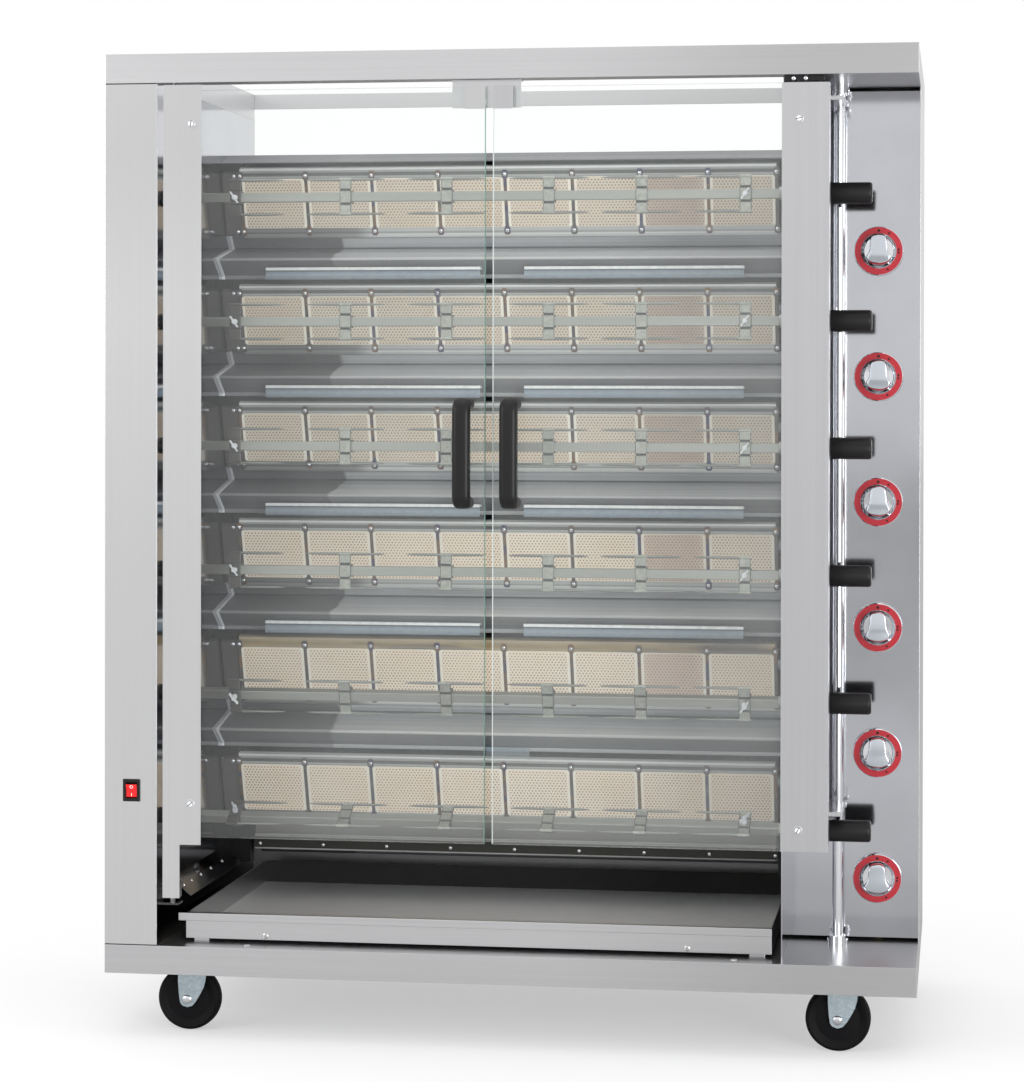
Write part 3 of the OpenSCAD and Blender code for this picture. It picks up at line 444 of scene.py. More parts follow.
# %% Door glass
pane = Finish("door_glass", Base_Color=(1, 1, 1, 1), Roughness=0.03, Metallic=1.0)
clear = pane.node("BsdfTransparent", {"Color": (0.985, 0.994, 0.99, 1)})
slant = pane.node("Fresnel", {"IOR": 1.45})
veil = pane.node("BsdfPrincipled", {"Base Color": (0.93, 0.95, 0.95, 1), "Roughness": 0.6})
smears = pane.step(pane.noise((5, 5, 2.2), 4.0), 0.35, 0.75)
far_side = pane.step(pane.axes()[0], -0.36, -0.2)
hazed = pane.mix(smears * 0.015 + far_side * 0.022 + 0.018, clear, veil)
pane.show(pane.mix(slant * 0.55, hazed, Signal(pane, pane.shader.outputs[0])))
print("glass:", len(pane.tree.nodes), "nodes")

# %% [markdown]
# ## Finishes for the CAD nodes
# Each sheet of the CAD model keeps its mesh and takes a finish. A Weld modifier joins its loose
# triangles, and a narrow Bevel rounds the bends, because no folded sheet has a razor edge and
# the thin bright line along a fold is what makes sheet metal look like metal.

# %% Dress the CAD nodes
FINISHES = {name: finish for finish, names in (
    (steel_across, "base_frame roof_frame"),
    (steel_left, "drive_front_panel left_stile"),
    (steel_upright, "side_panels right_stile back_panel"),
    (wall_steel, "control_panel left_inner_wall right_inner_wall"),
    (dark_steel, "burner_uprights motor_sprocket drive_chain hub"),
    (steel_mirror, "deflectors drip_tray spit"),
    (chrome, "post_bearings hinge_post knob"),
    (black_plastic, "switch_bezel left_handle right_handle grip"),
    (casting, "gear_motor ceramic_tiles"), (pane.material, "left_glass right_glass"),
    (aluminised, "burners"), (rail_steel, "tile_rails"), (brass, "gas_manifold"),
    (red_plastic, "rocker"), (zinc_fork, "fork"), (rubber, "wheel"),
) for name in names.split()}
SHARP = "glass spit hub chain sprocket wheel post manifold tiles control back".split()
for name, cad in nodes.items():
    finish = FINISHES.get(name) or FINISHES[name.split("_")[0]]
    if not cad.material_slots:
        cad.data.materials.append(finish)
    for slot in cad.material_slots:
        slot.material = finish
    if not any(word in name for word in SHARP):
        weld = cad.modifiers.new("weld", "WELD")
        weld.merge_threshold = 0.00002
        edge = cad.modifiers.new("edge", "BEVEL")
        edge.width, edge.segments, edge.limit_method = 0.0004, 2, "ANGLE"
        edge.angle_limit = math.radians(40)
print("dressed", len(nodes), "nodes")

# %% [markdown]
# ## Modelling tools
# The new pieces are made with the same operators that the menus offer: add a primitive, select
# faces by where they are or which way they look, extrude, inset, spin, and apply a modifier.
# These few functions keep that short. Every finished piece sits at the origin, unturned and
# unscaled, with its place in its mesh, so that its Object coordinates are the machine's own.

# %% Selecting and editing
def pick(*pieces):
    """Select these pieces only, the first one active."""
    bpy.ops.object.select_all(action="DESELECT")
    for piece in pieces:
        piece.select_set(True)
    bpy.context.view_layer.objects.active = pieces[0]


@contextmanager
def editing(piece, kind="FACE"):
    """Edit mode on one piece, with all of it selected."""
    pick(piece)
    bpy.ops.object.mode_set(mode="EDIT")
    bpy.ops.mesh.select_mode(type=kind)
    bpy.ops.mesh.select_all(action="SELECT")
    yield
    bpy.ops.object.mode_set(mode="OBJECT")


def choose(piece, test, kind="faces"):
    """Select only what passes a test: faces by middle and normal, edges by middle and way."""
    bpy.ops.mesh.select_all(action="DESELECT")
    mesh = bmesh.from_edit_mesh(piece.data)
    for part in getattr(mesh, kind):
        if kind == "faces":
            chosen = test(part.calc_center_median(), part.normal)
        elif kind == "edges":
            ends = [vert.co for vert in part.verts]
            chosen = test((ends[0] + ends[1]) / 2, (ends[1] - ends[0]).normalized())
        else:
            chosen = test(part.co)
        if chosen:
            part.select_set(True)
    mesh.select_flush_mode()
    bmesh.update_edit_mesh(piece.data)


def coat(piece, *finishes):
    for material in finishes:
        piece.data.materials.append(material)
    return piece


def recolour(piece, index, test):
    """Give the faces that pass a test another of the piece's finishes."""
    with editing(piece):
        choose(piece, test)
        piece.active_material_index = index
        bpy.ops.object.material_slot_assign()


def extrude(move):
    bpy.ops.mesh.extrude_region_move(TRANSFORM_OT_translate={"value": Vector(move) * MM})


def resize(x, y, z, about=(0, 0, 0)):
    bpy.ops.transform.resize(value=(x, y, z), center_override=Vector(about) * MM)


def mend(piece, gap=0.01):
    """Merge doubled vertices and turn every normal outwards."""
    with editing(piece):
        bpy.ops.mesh.remove_doubles(threshold=gap * MM)
        bpy.ops.mesh.normals_make_consistent(inside=False)
    return piece


def modify(piece, kind, **values):
    """Add a modifier, set it and apply it."""
    pick(piece)
    modifier = piece.modifiers.new(kind.lower(), kind)
    for name, value in values.items():
        setattr(modifier, name, value)
    bpy.ops.object.modifier_apply(modifier=modifier.name)
    return piece


def rounded(piece, radius, segments=2, angle=30):
    return modify(piece, "BEVEL", width=radius * MM, segments=segments,
                  limit_method="ANGLE", angle_limit=math.radians(angle))


def smooth(piece, angle=35):
    pick(piece)
    bpy.ops.object.shade_smooth_by_angle(angle=math.radians(angle))
    return piece


print("selecting and editing: ready")

# %% Placing
FRONT, RIGHT = turned(90, "X"), turned(90, "Y")


def move(x, y, z):
    """A shift in millimetres."""
    return Matrix.Translation(Vector((x, y, z)) * MM)


def stand(x, y, z):
    """The matrix that carries a piece from the origin to a point of the drawing."""
    return Matrix.Translation(at(x, y, z))


def settle(piece, matrix):
    """Put a matrix into the mesh and leave the object at the origin, unturned."""
    pick(piece)
    piece.matrix_world = matrix
    bpy.ops.object.transform_apply(location=True, rotation=True, scale=True)
    return mend(piece) if matrix.determinant() < 0 else piece


def copy_of(piece, name, matrix):
    twin = piece.copy()
    twin.data = piece.data.copy()
    twin.name, twin.parent = name, None
    twin.modifiers.clear()
    for key in list(twin.keys()):
        del twin[key]
    bpy.context.scene.collection.objects.link(twin)
    return settle(twin, matrix)


def join(name, *pieces):
    pick(*pieces)
    if len(pieces) > 1:
        bpy.ops.object.join()
    pieces[0].name = name
    return pieces[0]


def drop(*spares):
    for spare in spares:
        bpy.data.objects.remove(spare)


def fit(piece, body, slot, *finishes):
    """Give a finished piece its materials and its CAD body. The slot is not used."""
    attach(piece, body)
    return coat(piece, *finishes)


print("the drawing's corner is at", [round(v, 3) for v in at(0, 0, 0)])


# %% Making
def block(name, low, high, radius=0.0, segments=2):
    """A box between two corners in millimetres, its edges rounded."""
    low, high = Vector(low), Vector(high)
    piece = primitive(name, bpy.ops.mesh.primitive_cube_add, size=1,
                      location=(low + high) * MM / 2)
    piece.scale = (high - low) * MM
    bpy.ops.object.transform_apply(location=True, rotation=False, scale=True)
    return rounded(piece, radius, segments) if radius else piece


def disc(name, radius, sides, height=0.0):
    piece = primitive(name, bpy.ops.mesh.primitive_circle_add, vertices=sides,
                      radius=radius * MM, fill_type="NGON", location=(0, 0, height * MM))
    bpy.ops.object.transform_apply(location=True, rotation=True, scale=True)
    return piece


def lathe(name, rings, sides):
    """A turned piece about Z: a disc, extruded and resized from ring to ring (radius, height)."""
    piece = disc(name, rings[0][0], sides, rings[0][1])
    with editing(piece):
        for (radius, height), (wider, higher) in zip(rings, rings[1:]):
            extrude((0, 0, higher - height))
            resize(wider / radius, wider / radius, 1)
    return mend(piece, 0.001)


def chain(name, points):
    """A line of edges: a plane merged to one vertex, extruded from point to point."""
    piece = primitive(name, bpy.ops.mesh.primitive_plane_add, size=MM)
    with editing(piece, "VERT"):
        bpy.ops.mesh.merge(type="CENTER")
        bpy.ops.transform.translate(value=Vector(points[0]) * MM)
        for point, following in zip(points, points[1:]):
            extrude(Vector(following) - Vector(point))
    return piece


def folded(name, points, x0, x1, sheet):
    """A folded sheet: a line through (y, z) points, pulled out along X and thickened."""
    piece = chain(name, [(x0, y, z) for y, z in points])
    with editing(piece, "EDGE"):
        extrude((x1 - x0, 0, 0))
    mend(piece, 0.001)
    modify(piece, "SOLIDIFY", thickness=sheet * MM, offset=0, use_even_offset=True)
    return rounded(piece, 0.6, 2, 20)


def plate(name, points, sheet):
    """A flat plate: an outline through (x, z) points, filled and pulled back along Y."""
    piece = chain(name, [(x, 0, z) for x, z in points])
    with editing(piece, "VERT"):
        bpy.ops.mesh.edge_face_add()
    with editing(piece):
        extrude((0, sheet, 0))
    return rounded(mend(piece, 0.001), 0.4, 2, 50)


print("tools: block, disc, lathe, chain, folded, plate")

# %% [markdown]
# ## Ceramic tiles
# An infrared burner is a row of pale ceramic tiles, pierced by hundreds of tiny flame holes.
# One tile is a rounded block whose front is inset, which leaves the plain rim around the
# pierced field. The holes are a material, not mesh: two Math nodes cut the surface into cells
# and a third measures the distance to the middle of the cell, every second row half a cell on.

# %% Tile materials
TILES, TILE_PITCH, TILE_LEFT = 8, 104.25, 107
HOLES_ACROSS, HOLE_ROWS = 20, 38
ROW_HEIGHT = PITCH * math.cos(LEAN) / HOLE_ROWS
BURNER_Z = spit_z(1) + 9


def ceramic(name, holes):
    finish = Finish(name)
    cloud = finish.noise((16, 16, 16), 3.0)
    body = finish.blend(finish.step(cloud, 0.3, 0.75), (250, 240, 222), (255, 250, 238))
    if holes:
        x, y, z = finish.axes()
        cell = TILE_PITCH / HOLES_ACROSS
        up = (z * math.cos(LEAN) - y * math.sin(LEAN)) / (ROW_HEIGHT * MM)
        row = finish.maths("FLOOR", up)
        across = finish.maths("FRACT", x / (cell * MM) + row * 0.5) - 0.5
        along = up - row - 0.5
        across, along = across * cell, along * ROW_HEIGHT
        reach = finish.maths("SQRT", across * across + along * along)
        hole = 1.0 - finish.step(reach, 0.75, 1.6)
        # painted shade: each hole is a darker brown dot for the shade inside it, and noise varies
        # the brown from hole to hole
        hole_mottle = finish.step(finish.noise((6, 6, 12), 2.0), 0.35, 0.7)
        inside = finish.blend(hole_mottle, (176, 140, 116), (132, 108, 96))
        body = finish.blend(finish.step(cloud, 0.2, 0.8), (246, 228, 204), (252, 239, 220))
        body = finish.blend(hole, body, inside)
        scorch = finish.step(x, 0.14, 0.17) * (1.0 - finish.step(x, 0.23, 0.27))
        scorch = scorch * finish.step(z, 0.4, 0.42) * 0.45
        body = finish.blend(scorch, body, (176, 140, 132))
        # painted shade: the tile rows above z = 0.72 m are darker
        body = finish.blend(finish.step(z, 0.72, 0.86) * 0.26, body, (124, 118, 108))
    finish.set(Base_Color=body, Roughness=cloud * 0.1 + 0.72)
    return finish.material


ceramic_plain = ceramic("ceramic_rim", False)
ceramic_pierced = ceramic("ceramic_pierced", True)
print("holes", round(TILE_PITCH / HOLES_ACROSS, 2), "mm apart, rows", round(ROW_HEIGHT, 2), "mm")

# %% One tile and the six rows
TILE_W, FACE_H = TILE_PITCH - 4.4, 39.8
tile = block("tile", (-TILE_W / 2, -1.8, -FACE_H), (TILE_W / 2, 11.8, FACE_H))
with editing(tile, "EDGE"):
    choose(tile, lambda middle, way: abs(way.y) > 0.9, "edges")
    bpy.ops.mesh.bevel(offset=5 * MM, segments=4)
with editing(tile):
    choose(tile, lambda middle, normal: normal.y < -0.9)
    bpy.ops.mesh.inset(thickness=0.9 * MM, depth=0.7 * MM)
    bpy.ops.mesh.inset(thickness=3.6 * MM, depth=0)
coat(tile, ceramic_plain, ceramic_pierced)
recolour(tile, 1, lambda middle, normal: normal.y < -0.9 and abs(middle.x) < 0.001)
smooth(tile)
modify(tile, "ARRAY", count=TILES, use_relative_offset=False, use_constant_offset=True,
       constant_offset_displace=(TILE_PITCH * MM, 0, 0))


def burner_row(tier):
    """The matrix of a burner's own leaning axes, from the left end of its row."""
    return (stand(TILE_LEFT, BURNER_Y, BURNER_Z + PITCH * (tier - 1))
            @ Matrix.Rotation(LEAN, 4, "X"))


for tier in ROWS:
    row = copy_of(tile, f"tiles_{tier}", burner_row(tier) @ move(TILE_PITCH / 2, 0, 0))
    fit(row, "root", "ceramic")
    if tier == 1:
        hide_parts("ceramic_tiles")
drop(tile)
print("tiles in a row:", TILES, "faces:", len(row.data.polygons))

# %% [markdown]
# ## Separators and screws
# A narrow steel strap covers each joint between two tiles. Its ends widen to lugs, and a
# pan-head screw holds each lug to a rail. Years of heat have turned the straps blue and brown,
# so their material carries bands of temper colours that run down the strap.

# %% Heat-tinted steel
def tempered(name, seed):
    """Steel with temper colours in bands along the strap."""
    finish = Finish(name, Metallic=1.0)
    bands = finish.noise((9, 9, 26), 2.0)
    stops = [(0.0, (92, 88, 92)), (0.36, (112, 106, 104)), (0.48, (150, 118, 84)),
             (0.56, (92, 84, 118)), (0.66, (96, 100, 122)), (1.0, (168, 164, 158))]
    finish.set(Base_Color=finish.ramp(bands + seed, stops), Roughness=bands * 0.2 + 0.26)
    return finish.material


temper_dark, temper_mixed = tempered("temper_dark", -0.14), tempered("temper_mixed", 0.03)
print("two tempers of one steel")

# %% Straps and screws
strap = block("strap", (-2.5, -2.7, -38), (2.5, -1.4, 38))
with editing(strap):
    for end in (-1, 1):
        choose(strap, lambda middle, normal: normal.z * end > 0.9)
        for wider, step in ((1.0, 1), (1.9, 3), (1.0, 8), (0.55, 2)):
            extrude((0, 0, end * step))
            resize(wider, 1, 1)
rounded(strap, 0.35, 1)
pan_head = lathe("pan_head", [(3.4, -0.4), (3.4, 0.9), (2.7, 2.0), (1.0, 2.5)], 12)
smooth(settle(pan_head, FRONT), 50)
straps, screws = [], []
for joint in range(TILES + 1):
    colour = temper_dark if joint in (0, 1, 5, 8) else temper_mixed
    straps.append(coat(copy_of(strap, "strap", move(TILE_PITCH * joint, 0, 0)), colour))
    for end in (-45, 45):
        screws.append(copy_of(pan_head, "screw", move(TILE_PITCH * joint, -2.7, end)))
print("in a row", len(straps), "straps and", len(screws), "screws")
strap_row, screw_row = join("strap_row", *straps), join("screw_row", *screws)
for tier in ROWS:
    fit(copy_of(strap_row, f"separators_{tier}", burner_row(tier)), "root", "polished_steel")
    fit(copy_of(screw_row, f"row_screws_{tier}", burner_row(tier)), "root", "zinc_plate", chrome)
drop(strap, pan_head, strap_row, screw_row)

# %% [markdown]
# ## Deflectors
# The CAD model already holds the folded sheets between the rows and the galvanised strips under
# them, as one node. A merged copy of it is cut into its loose pieces, which are told apart by
# their length: the sheets run from wall to wall and stay bright steel, the short ones are zinc.

# %% Sheets with their painted reflections
SHEET_FOOT, STRIP_FOOT = 0.3766, 0.3746  # where the lowest of each starts, in metres


def sheet_steel():
    """The deflectors' steel with painted reflections: each fold is painted with the tone it
    mirrors from the chamber, and a painted shadow darkens the left.

    The folds follow one another in height, so one ramp over the height within a tier holds the
    painted tone of the hem, the return, the nose, the top and the back fold.
    """
    finish = Finish("deflector_steel", Metallic=0.3)
    x, _, z = finish.axes()
    rise = finish.maths("FRACT", (z - SHEET_FOOT) / (PITCH * MM))
    tones = ((0, 150), (5.4, 178), (6.4, 116), (27, 138), (28.4, 255), (31.2, 255), (32, 214),
             (48.8, 222), (49.2, 120), (51.4, 120), (52, 236), (70, 230), (74, 110), (182, 100))
    painted_reflection = finish.ramp(rise, [(h / PITCH, (t, min(t + 2, 255), min(t + 5, 255)))
                                  for h, t in tones])
    lines = finish.noise((1.2, 60, 150), 1.0)
    haze = finish.noise((14, 9, 9), 2.0)
    # painted shadow: the steel left of x = -0.31 m darkens, more above 32 mm up each tier
    left = 1.0 - finish.step(x + haze * 0.03, -0.31, -0.304)
    upper = finish.step(rise, 31 / PITCH, 32.5 / PITCH)
    shadow = left * (upper * 0.3 + 0.5)
    # painted shade: above z = 1.262 m the steel turns dark
    cover = finish.step(z, 1.262, 1.268) * 0.75
    dark = finish.blend(lines, (40, 40, 48), (80, 82, 90))
    tone = finish.blend(finish.step(lines, 0.3, 0.8) * 0.4, painted_reflection, (150, 152, 158))
    tone = finish.blend(shadow, tone, dark)
    finish.set(Base_Color=finish.blend(cover, tone, dark), Roughness=haze * 0.1 + 0.32)
    return finish.material


def strip_zinc():
    """Galvanised strips with spangle and painted light: a painted highlight on the rolled top
    edge, a painted dark line under it and painted shade to the foot.
    """
    finish = Finish("strip_zinc", Metallic=0.45)
    z = finish.axes()[2]
    rise = finish.maths("FRACT", (z - STRIP_FOOT) / (PITCH * MM))
    # painted highlight and shade: (millimetres up the strip, colour)
    tones = ((0, (90, 98, 102)), (1.5, (132, 144, 154)), (8, (154, 168, 180)),
             (12.4, (132, 145, 156)), (13.2, (70, 76, 80)), (14.2, (70, 76, 80)),
             (14.9, (252, 254, 255)), (19.6, (252, 254, 255)), (21, (120, 126, 130)))
    graded = finish.ramp(rise, [(h / PITCH, colour) for h, colour in tones])
    spangle = finish.cells(170)
    finish.set(Base_Color=finish.blend(spangle * 0.16, graded, (96, 106, 114)),
               Roughness=spangle * 0.2 + 0.3)
    return finish.material


print("tones repeat every", PITCH, "mm")

# %% Split the deflectors
sheets = mend(copy_of(nodes["deflectors"], "sheets", Matrix.Identity(4)), 0.02)
with editing(sheets):
    bpy.ops.mesh.separate(type="LOOSE")
loose = [sheets] + [o for o in bpy.context.selected_objects if o != sheets]
long_ones = [piece for piece in loose if piece.dimensions.x > 0.6]
short_ones = [piece for piece in loose if piece not in long_ones]
zinc_strips = join("drip_strips", *short_ones)
sheets = join("deflector_sheets", *long_ones)
for piece, material, slot in ((sheets, sheet_steel(), "polished_steel"),
                              (zinc_strips, strip_zinc(), "zinc_plate")):
    piece.data.materials.clear()
    rounded(piece, 0.5, 2, 25)
    fit(piece, "root", slot, material)
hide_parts("deflectors")
print(len(long_ones), "sheets and", len(short_ones), "strips")

# %% [markdown]
# ## Ends of the burner rows
# At the left wall a channel closes the gap beside the first tile. It is put together from flat
# bars, and its dark steel is a painted shade. A near-white strip follows the fold of each
# deflector at the wall, painted light for the light that shows in the gap there, and one more
# strip with its own screws hangs under the lowest row. These two are lines of (y, z) points
# pulled out into a sheet.

# %% End channels and strips
# painted shade: dark steel for the end channels in the left corner and for the left end forks
painted_dark = cast("painted_dark_steel", (56, 56, 54), (94, 92, 88), 0.3, 0.42, 40)
# painted light: a near-white, nearly unmetallic finish for the strip in the gap at the wall, and
# for the screw heads and wing screws, where it stands for the white that they mirror
painted_bright = cast("painted_bright", (226, 228, 234), (244, 245, 250), 0.2, 0.34)
channel_screw = lathe("channel_screw", [(3.6, -0.4), (3.6, 0.9), (2.7, 2.1), (1.0, 2.6)], 12)
coat(smooth(settle(channel_screw, FRONT), 50), chrome)
channel = block("end_channel", (-27, 1.5, -50), (-4, 3, 50))
for left in (-27, -5.5):
    channel = join("end_channel", channel, block("flange", (left, -5, -50), (left + 1.5, 3, 50)))
cover = block("cover", (-28.5, -3.2, -49), (-3.2, -1.8, 49), 0.5)
channel = coat(rounded(join("end_channel", channel, cover), 0.3, 1), painted_dark)
channel_screws = [copy_of(channel_screw, "channel_screw", move(-9, -3.2, z)) for z in (-45, 45)]
channel = join("end_channel", channel, *channel_screws)
fold = [(428.8, 354.6), (448.8, 334.6), (344.8, 314.6), (382.8, 290.6), (382.8, 284.6)]
end_strip = folded("end_strip", fold, LEFT_WALL + 0.2, LEFT_WALL + 4.4, 4)
for tier in ROWS:
    fit(copy_of(channel, f"end_channel_{tier}", burner_row(tier)), "root", "polished_steel")
    if tier > 1:
        fit(copy_of(end_strip, f"end_strip_{tier}", stand(0, 0, PITCH * (tier - 2))),
            "root", "zinc_plate", painted_bright)
drop(channel, end_strip, channel_screw)
print("one channel per row, one strip between two rows")


# %% Lowest strip
low_fold = [(411, 166), (411, 143.2), (405, 141.6), (405, 125), (409, 121.6)]
low_strip = settle(folded("low_strip", low_fold, 125, 941, 1.2), stand(0, 0, 0))
# painted reflections and shade: each fold of the lowest strip takes its tone from a ramp over the
# height
low_steel = Finish("low_strip_steel", Metallic=0.35)
tones = ((0, 215), (0.07, 235), (0.1, 58), (0.5, 50), (0.54, 176), (0.59, 170), (0.62, 92),
         (1, 118))
foot, height = 0.2125, 0.04  # in metres
graded = low_steel.ramp((low_steel.axes()[2] - foot) / height,
                        [(share, (t, t, t - 4)) for share, t in tones])
low_steel.set(Base_Color=graded, Roughness=low_steel.noise((9, 9, 9)) * 0.1 + 0.3)
fit(low_strip, "root", "polished_steel", low_steel.material)
print("lowest strip:", round(low_fold[0][1] - low_fold[-1][1], 1), "mm high")


# %% Screws and rivets
def dome(name, radius, height, sides):
    rings = [(radius, -0.5), (radius, height * 0.25), (radius * 0.86, height * 0.65),
             (radius * 0.52, height * 0.92), (radius * 0.15, height)]
    return smooth(lathe(name, rings, sides), 60)


def scatter(name, piece, matrices, body, slot, *finishes):
    """Copies of one piece at many places, joined."""
    copies = [copy_of(piece, name, matrix) for matrix in matrices]
    return fit(join(name, *copies), body, slot, *finishes)


rivet = dome("rivet", 3.0, 1.8, 12)
scatter("low_strip_screws", rivet, [stand(134 + 100.7 * i, 404.4, 130) @ FRONT for i in range(9)],
        "root", "zinc_plate", chrome)
scatter("lip_rivets", rivet,
        [stand(92.5, y, 113.4) @ turned(52, "Y") for y in (96, 140, 195, 255, 325)],
        "root", "zinc_plate", chrome)
spots = [(x, z) for x in (18, 290, 580, 870, 1142) for z in (60, 620, 1260)
         if z < 1260 or not LEFT_WALL < x < RIGHT_WALL]
spots += [(x, z) for x in (18, 1142) for z in (340, 900)]
scatter("back_rivets", rivet, [stand(x, BACK, z) @ FRONT.inverted() for x, z in spots],
        "root", "zinc_plate", chrome)
drop(rivet)
print("rivets in the back:", len(spots))

# %% [markdown]
# ## Spits and forks
# A spit is a square bar with a round length where it rests in the wall's notch. Each fork is a
# sleeve round the bar between two small plates, with a tapered prong rolled into either end.
# The end forks have prongs on one side only, and a wing screw that clamps them to the bar. One
# spit is modelled along X at the origin, then copied and turned to the angle where it stopped.

# %% Forks
PRONG, END_PRONG = 50.3, 65.3
prong_steel = brushed("prong_steel", (132, 134, 130), (166, 168, 162), ALONG_X, 0.32)
fork_edge = cast("fork_edge", (84, 86, 82), (120, 122, 118), 0.7, 0.4)


def prong(length):
    """A tapered wire that points to the right from x = 8."""
    rings = [(2.0, 0), (1.9, length * 0.5), (1.5, length * 0.82), (0.5, length)]
    piece = coat(lathe("prong", rings, 10), prong_steel)
    return smooth(settle(piece, move(8, 0, 0) @ RIGHT), 50)


def pressed(name, low, high, *finishes):
    """A block whose front has a narrow darker border."""
    piece = coat(block(name, low, high), *finishes)
    with editing(piece):
        choose(piece, lambda middle, normal: normal.y < -0.9)
        bpy.ops.mesh.inset(thickness=1.1 * MM, depth=0.3 * MM)
        bpy.ops.mesh.select_all(action="INVERT")
        piece.active_material_index = 1
        bpy.ops.object.material_slot_assign()
    return piece


def fork_body(name, *finishes):
    parts = [pressed(name, (-8.5, -9.75, -9.2), (8.5, 9.75, 9.2), *finishes)]
    for end in (-1, 1):
        low, high = sorted((end * 11.2, end * 24.5))
        parts.append(pressed("plate", (-8.5, -9.6, low), (8.5, -7.4, high), *finishes))
        low, high = sorted((end * 8, end * 12))
        parts.append(coat(block("neck", (-7.4, -8.6, low), (7.4, -7.6, high)), dark_steel))
        roll = lathe("roll", [(2.7, -8.5), (2.7, 8.5)], 14)
        roll = smooth(settle(roll, move(0, -8.0, end * 25) @ RIGHT))
        parts.append(coat(roll, finishes[0]))
    return parts


def double_fork():
    parts = fork_body("double_fork", zinc_fork, fork_edge)
    for end in (-1, 1):
        for way in (0, 180):
            parts.append(settle(prong(PRONG), move(0, -8.0, end * 25) @ turned(way, "Z")))
    return join("double_fork", *parts)


def end_fork(*finishes):
    parts = fork_body("end_fork", *finishes)
    for end in (-1, 1):
        parts.append(settle(prong(END_PRONG), move(0, -8.0, end * 25)))
    shank = smooth(settle(lathe("shank", [(4, 0), (4, 5), (3, 6), (3, 11)], 16),
                          move(0, -9.6, 0) @ FRONT))
    wings = block("wings", (-10, -21.4, -1.1), (10, -15, 1.1), 1.0, 3)
    with editing(wings):
        choose(wings, lambda middle, normal: abs(normal.x) > 0.8)
        resize(1, 1.25, 1, (0, -18.2, 0))
    settle(wings, turned(55, "Y"))
    return join("end_fork", *parts, coat(shank, painted_bright), coat(wings, painted_bright))


double = double_fork()
# the left end fork takes the dark painted-shade steel, the right one zinc
left_fork, right_fork = end_fork(painted_dark, fork_edge), end_fork(zinc_fork, fork_edge)
print("prongs", PRONG, "and", END_PRONG, "mm long")


# %% Bars and all six spits
bar = block("bar", (91, -6.75, -6.75), (1050, 6.75, 6.75), 0.9)
journal = smooth(settle(lathe("journal", [(9, 0), (9.5, 0.6), (9.5, 21.4), (9, 22)], 32),
                        move(961, 0, 0) @ RIGHT))
bar = join("bar", bar, journal)
SPIT_TURN = (-60, 20, 0, 0, 0, 0)
forks = [copy_of(double, "fork", move(x, 0, 0)) for x in (329.6, 479.2, 628.8, 763.4)]
forks.append(copy_of(left_fork, "fork", move(165, 0, 0)))
forks.append(copy_of(right_fork, "fork", move(913, 0, 0) @ Matrix.Scale(-1, 4, (1, 0, 0))))
fork_set = join("fork_set", *forks)
grip_rings = [(13.6, 0), (15.2, 0.8), (15.5, 2.4), (15.5, 55.5), (15.1, 57.8), (13.9, 59.4),
              (12, 60), (3, 60.2)]
grip = smooth(settle(lathe("grip", grip_rings, 36), move(1033, 0, 0) @ RIGHT), 50)
for tier in ROWS:
    axis = stand(0, SPIT_Y, spit_z(tier)) @ turned(SPIT_TURN[tier - 1], "X")
    body = f"spit_{tier}"
    steel = fit(copy_of(bar, f"bar_{tier}", axis), body, "polished_steel", satin)
    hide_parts(f"spit_{tier}")
    fit(copy_of(fork_set, f"forks_{tier}", axis), body, "zinc_plate")
    handle = fit(copy_of(grip, f"spit_grip_{tier}", axis), body, "black_plastic", black_plastic)
    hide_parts(f"grip_{tier}")
drop(bar, double, left_fork, right_fork, fork_set, grip)
print("spits with", len(forks), "forks each")

# %% [markdown]
# ## Gas knobs
# A knob is a turned skirt with a red ring let into its face, and a grip bar across the bowl
# inside the ring. The skirt is a disc pulled through a list of rings. The bar starts as a disc
# too: its sides are squeezed in to a waist, it is pulled forward, and its lower end is pushed
# back to a slope for the finger.

# %% Knob
skirt_rings = [(35.4, 1), (36, 1.8), (36, 7), (35.2, 12), (34.4, 12.6), (25.6, 12.6), (24.9, 12),
               (24.2, 8.5), (21, 6.2), (4, 5.6)]
red_enamel = cast("red_enamel", (166, 22, 36), (184, 38, 52), 0.0, 0.3, 90)
skirt = coat(lathe("skirt", skirt_rings, 48), chrome, red_enamel)
recolour(skirt, 1, lambda middle, normal: normal.z > 0.95 and middle.z > 0.0125)
smooth(skirt, 30)
waist = disc("waist", 24.4, 32, 5)
with editing(waist, "VERT"):
    for low, high, narrow in ((-25, -19, 0.95), (-19, -14, 0.92), (-14, -9, 0.84), (-9, -2, 0.66),
                              (-2, 3, 0.57), (3, 8, 0.56), (8, 12, 0.585), (12, 15, 0.63),
                              (15, 18, 0.71), (18, 21, 0.82)):
        choose(waist, lambda place: low * MM <= place.y < high * MM, "verts")
        resize(narrow, 1, 1)
with editing(waist):
    extrude((0, 0, 26))
    resize(0.93, 0.93, 1)
with editing(waist, "VERT"):
    choose(waist, lambda place: place.z > 0.03 and place.y < -0.0125, "verts")
    resize(1, 0.55, 1, (0, -12.5, 31))
mend(waist)
smooth(rounded(waist, 1.1, 3, 32), 32)
coat(waist, chrome, knob_face)
recolour(waist, 1, lambda middle, normal: normal.z > 0.9)
marks = [settle(lathe("dot", [(size, 12.2), (size, 12.9)], 14), move(x, y, 0))
         for x, y, size in ((0, 29.4, 2.0), (15, 25.3, 1.5), (28.6, 1.8, 1.5), (28.4, -2.4, 1.5),
                            (13, -26.8, 1.5))]
marks = coat(join("marks", *marks), black_plastic)
knob = join("knob", skirt, waist, marks)
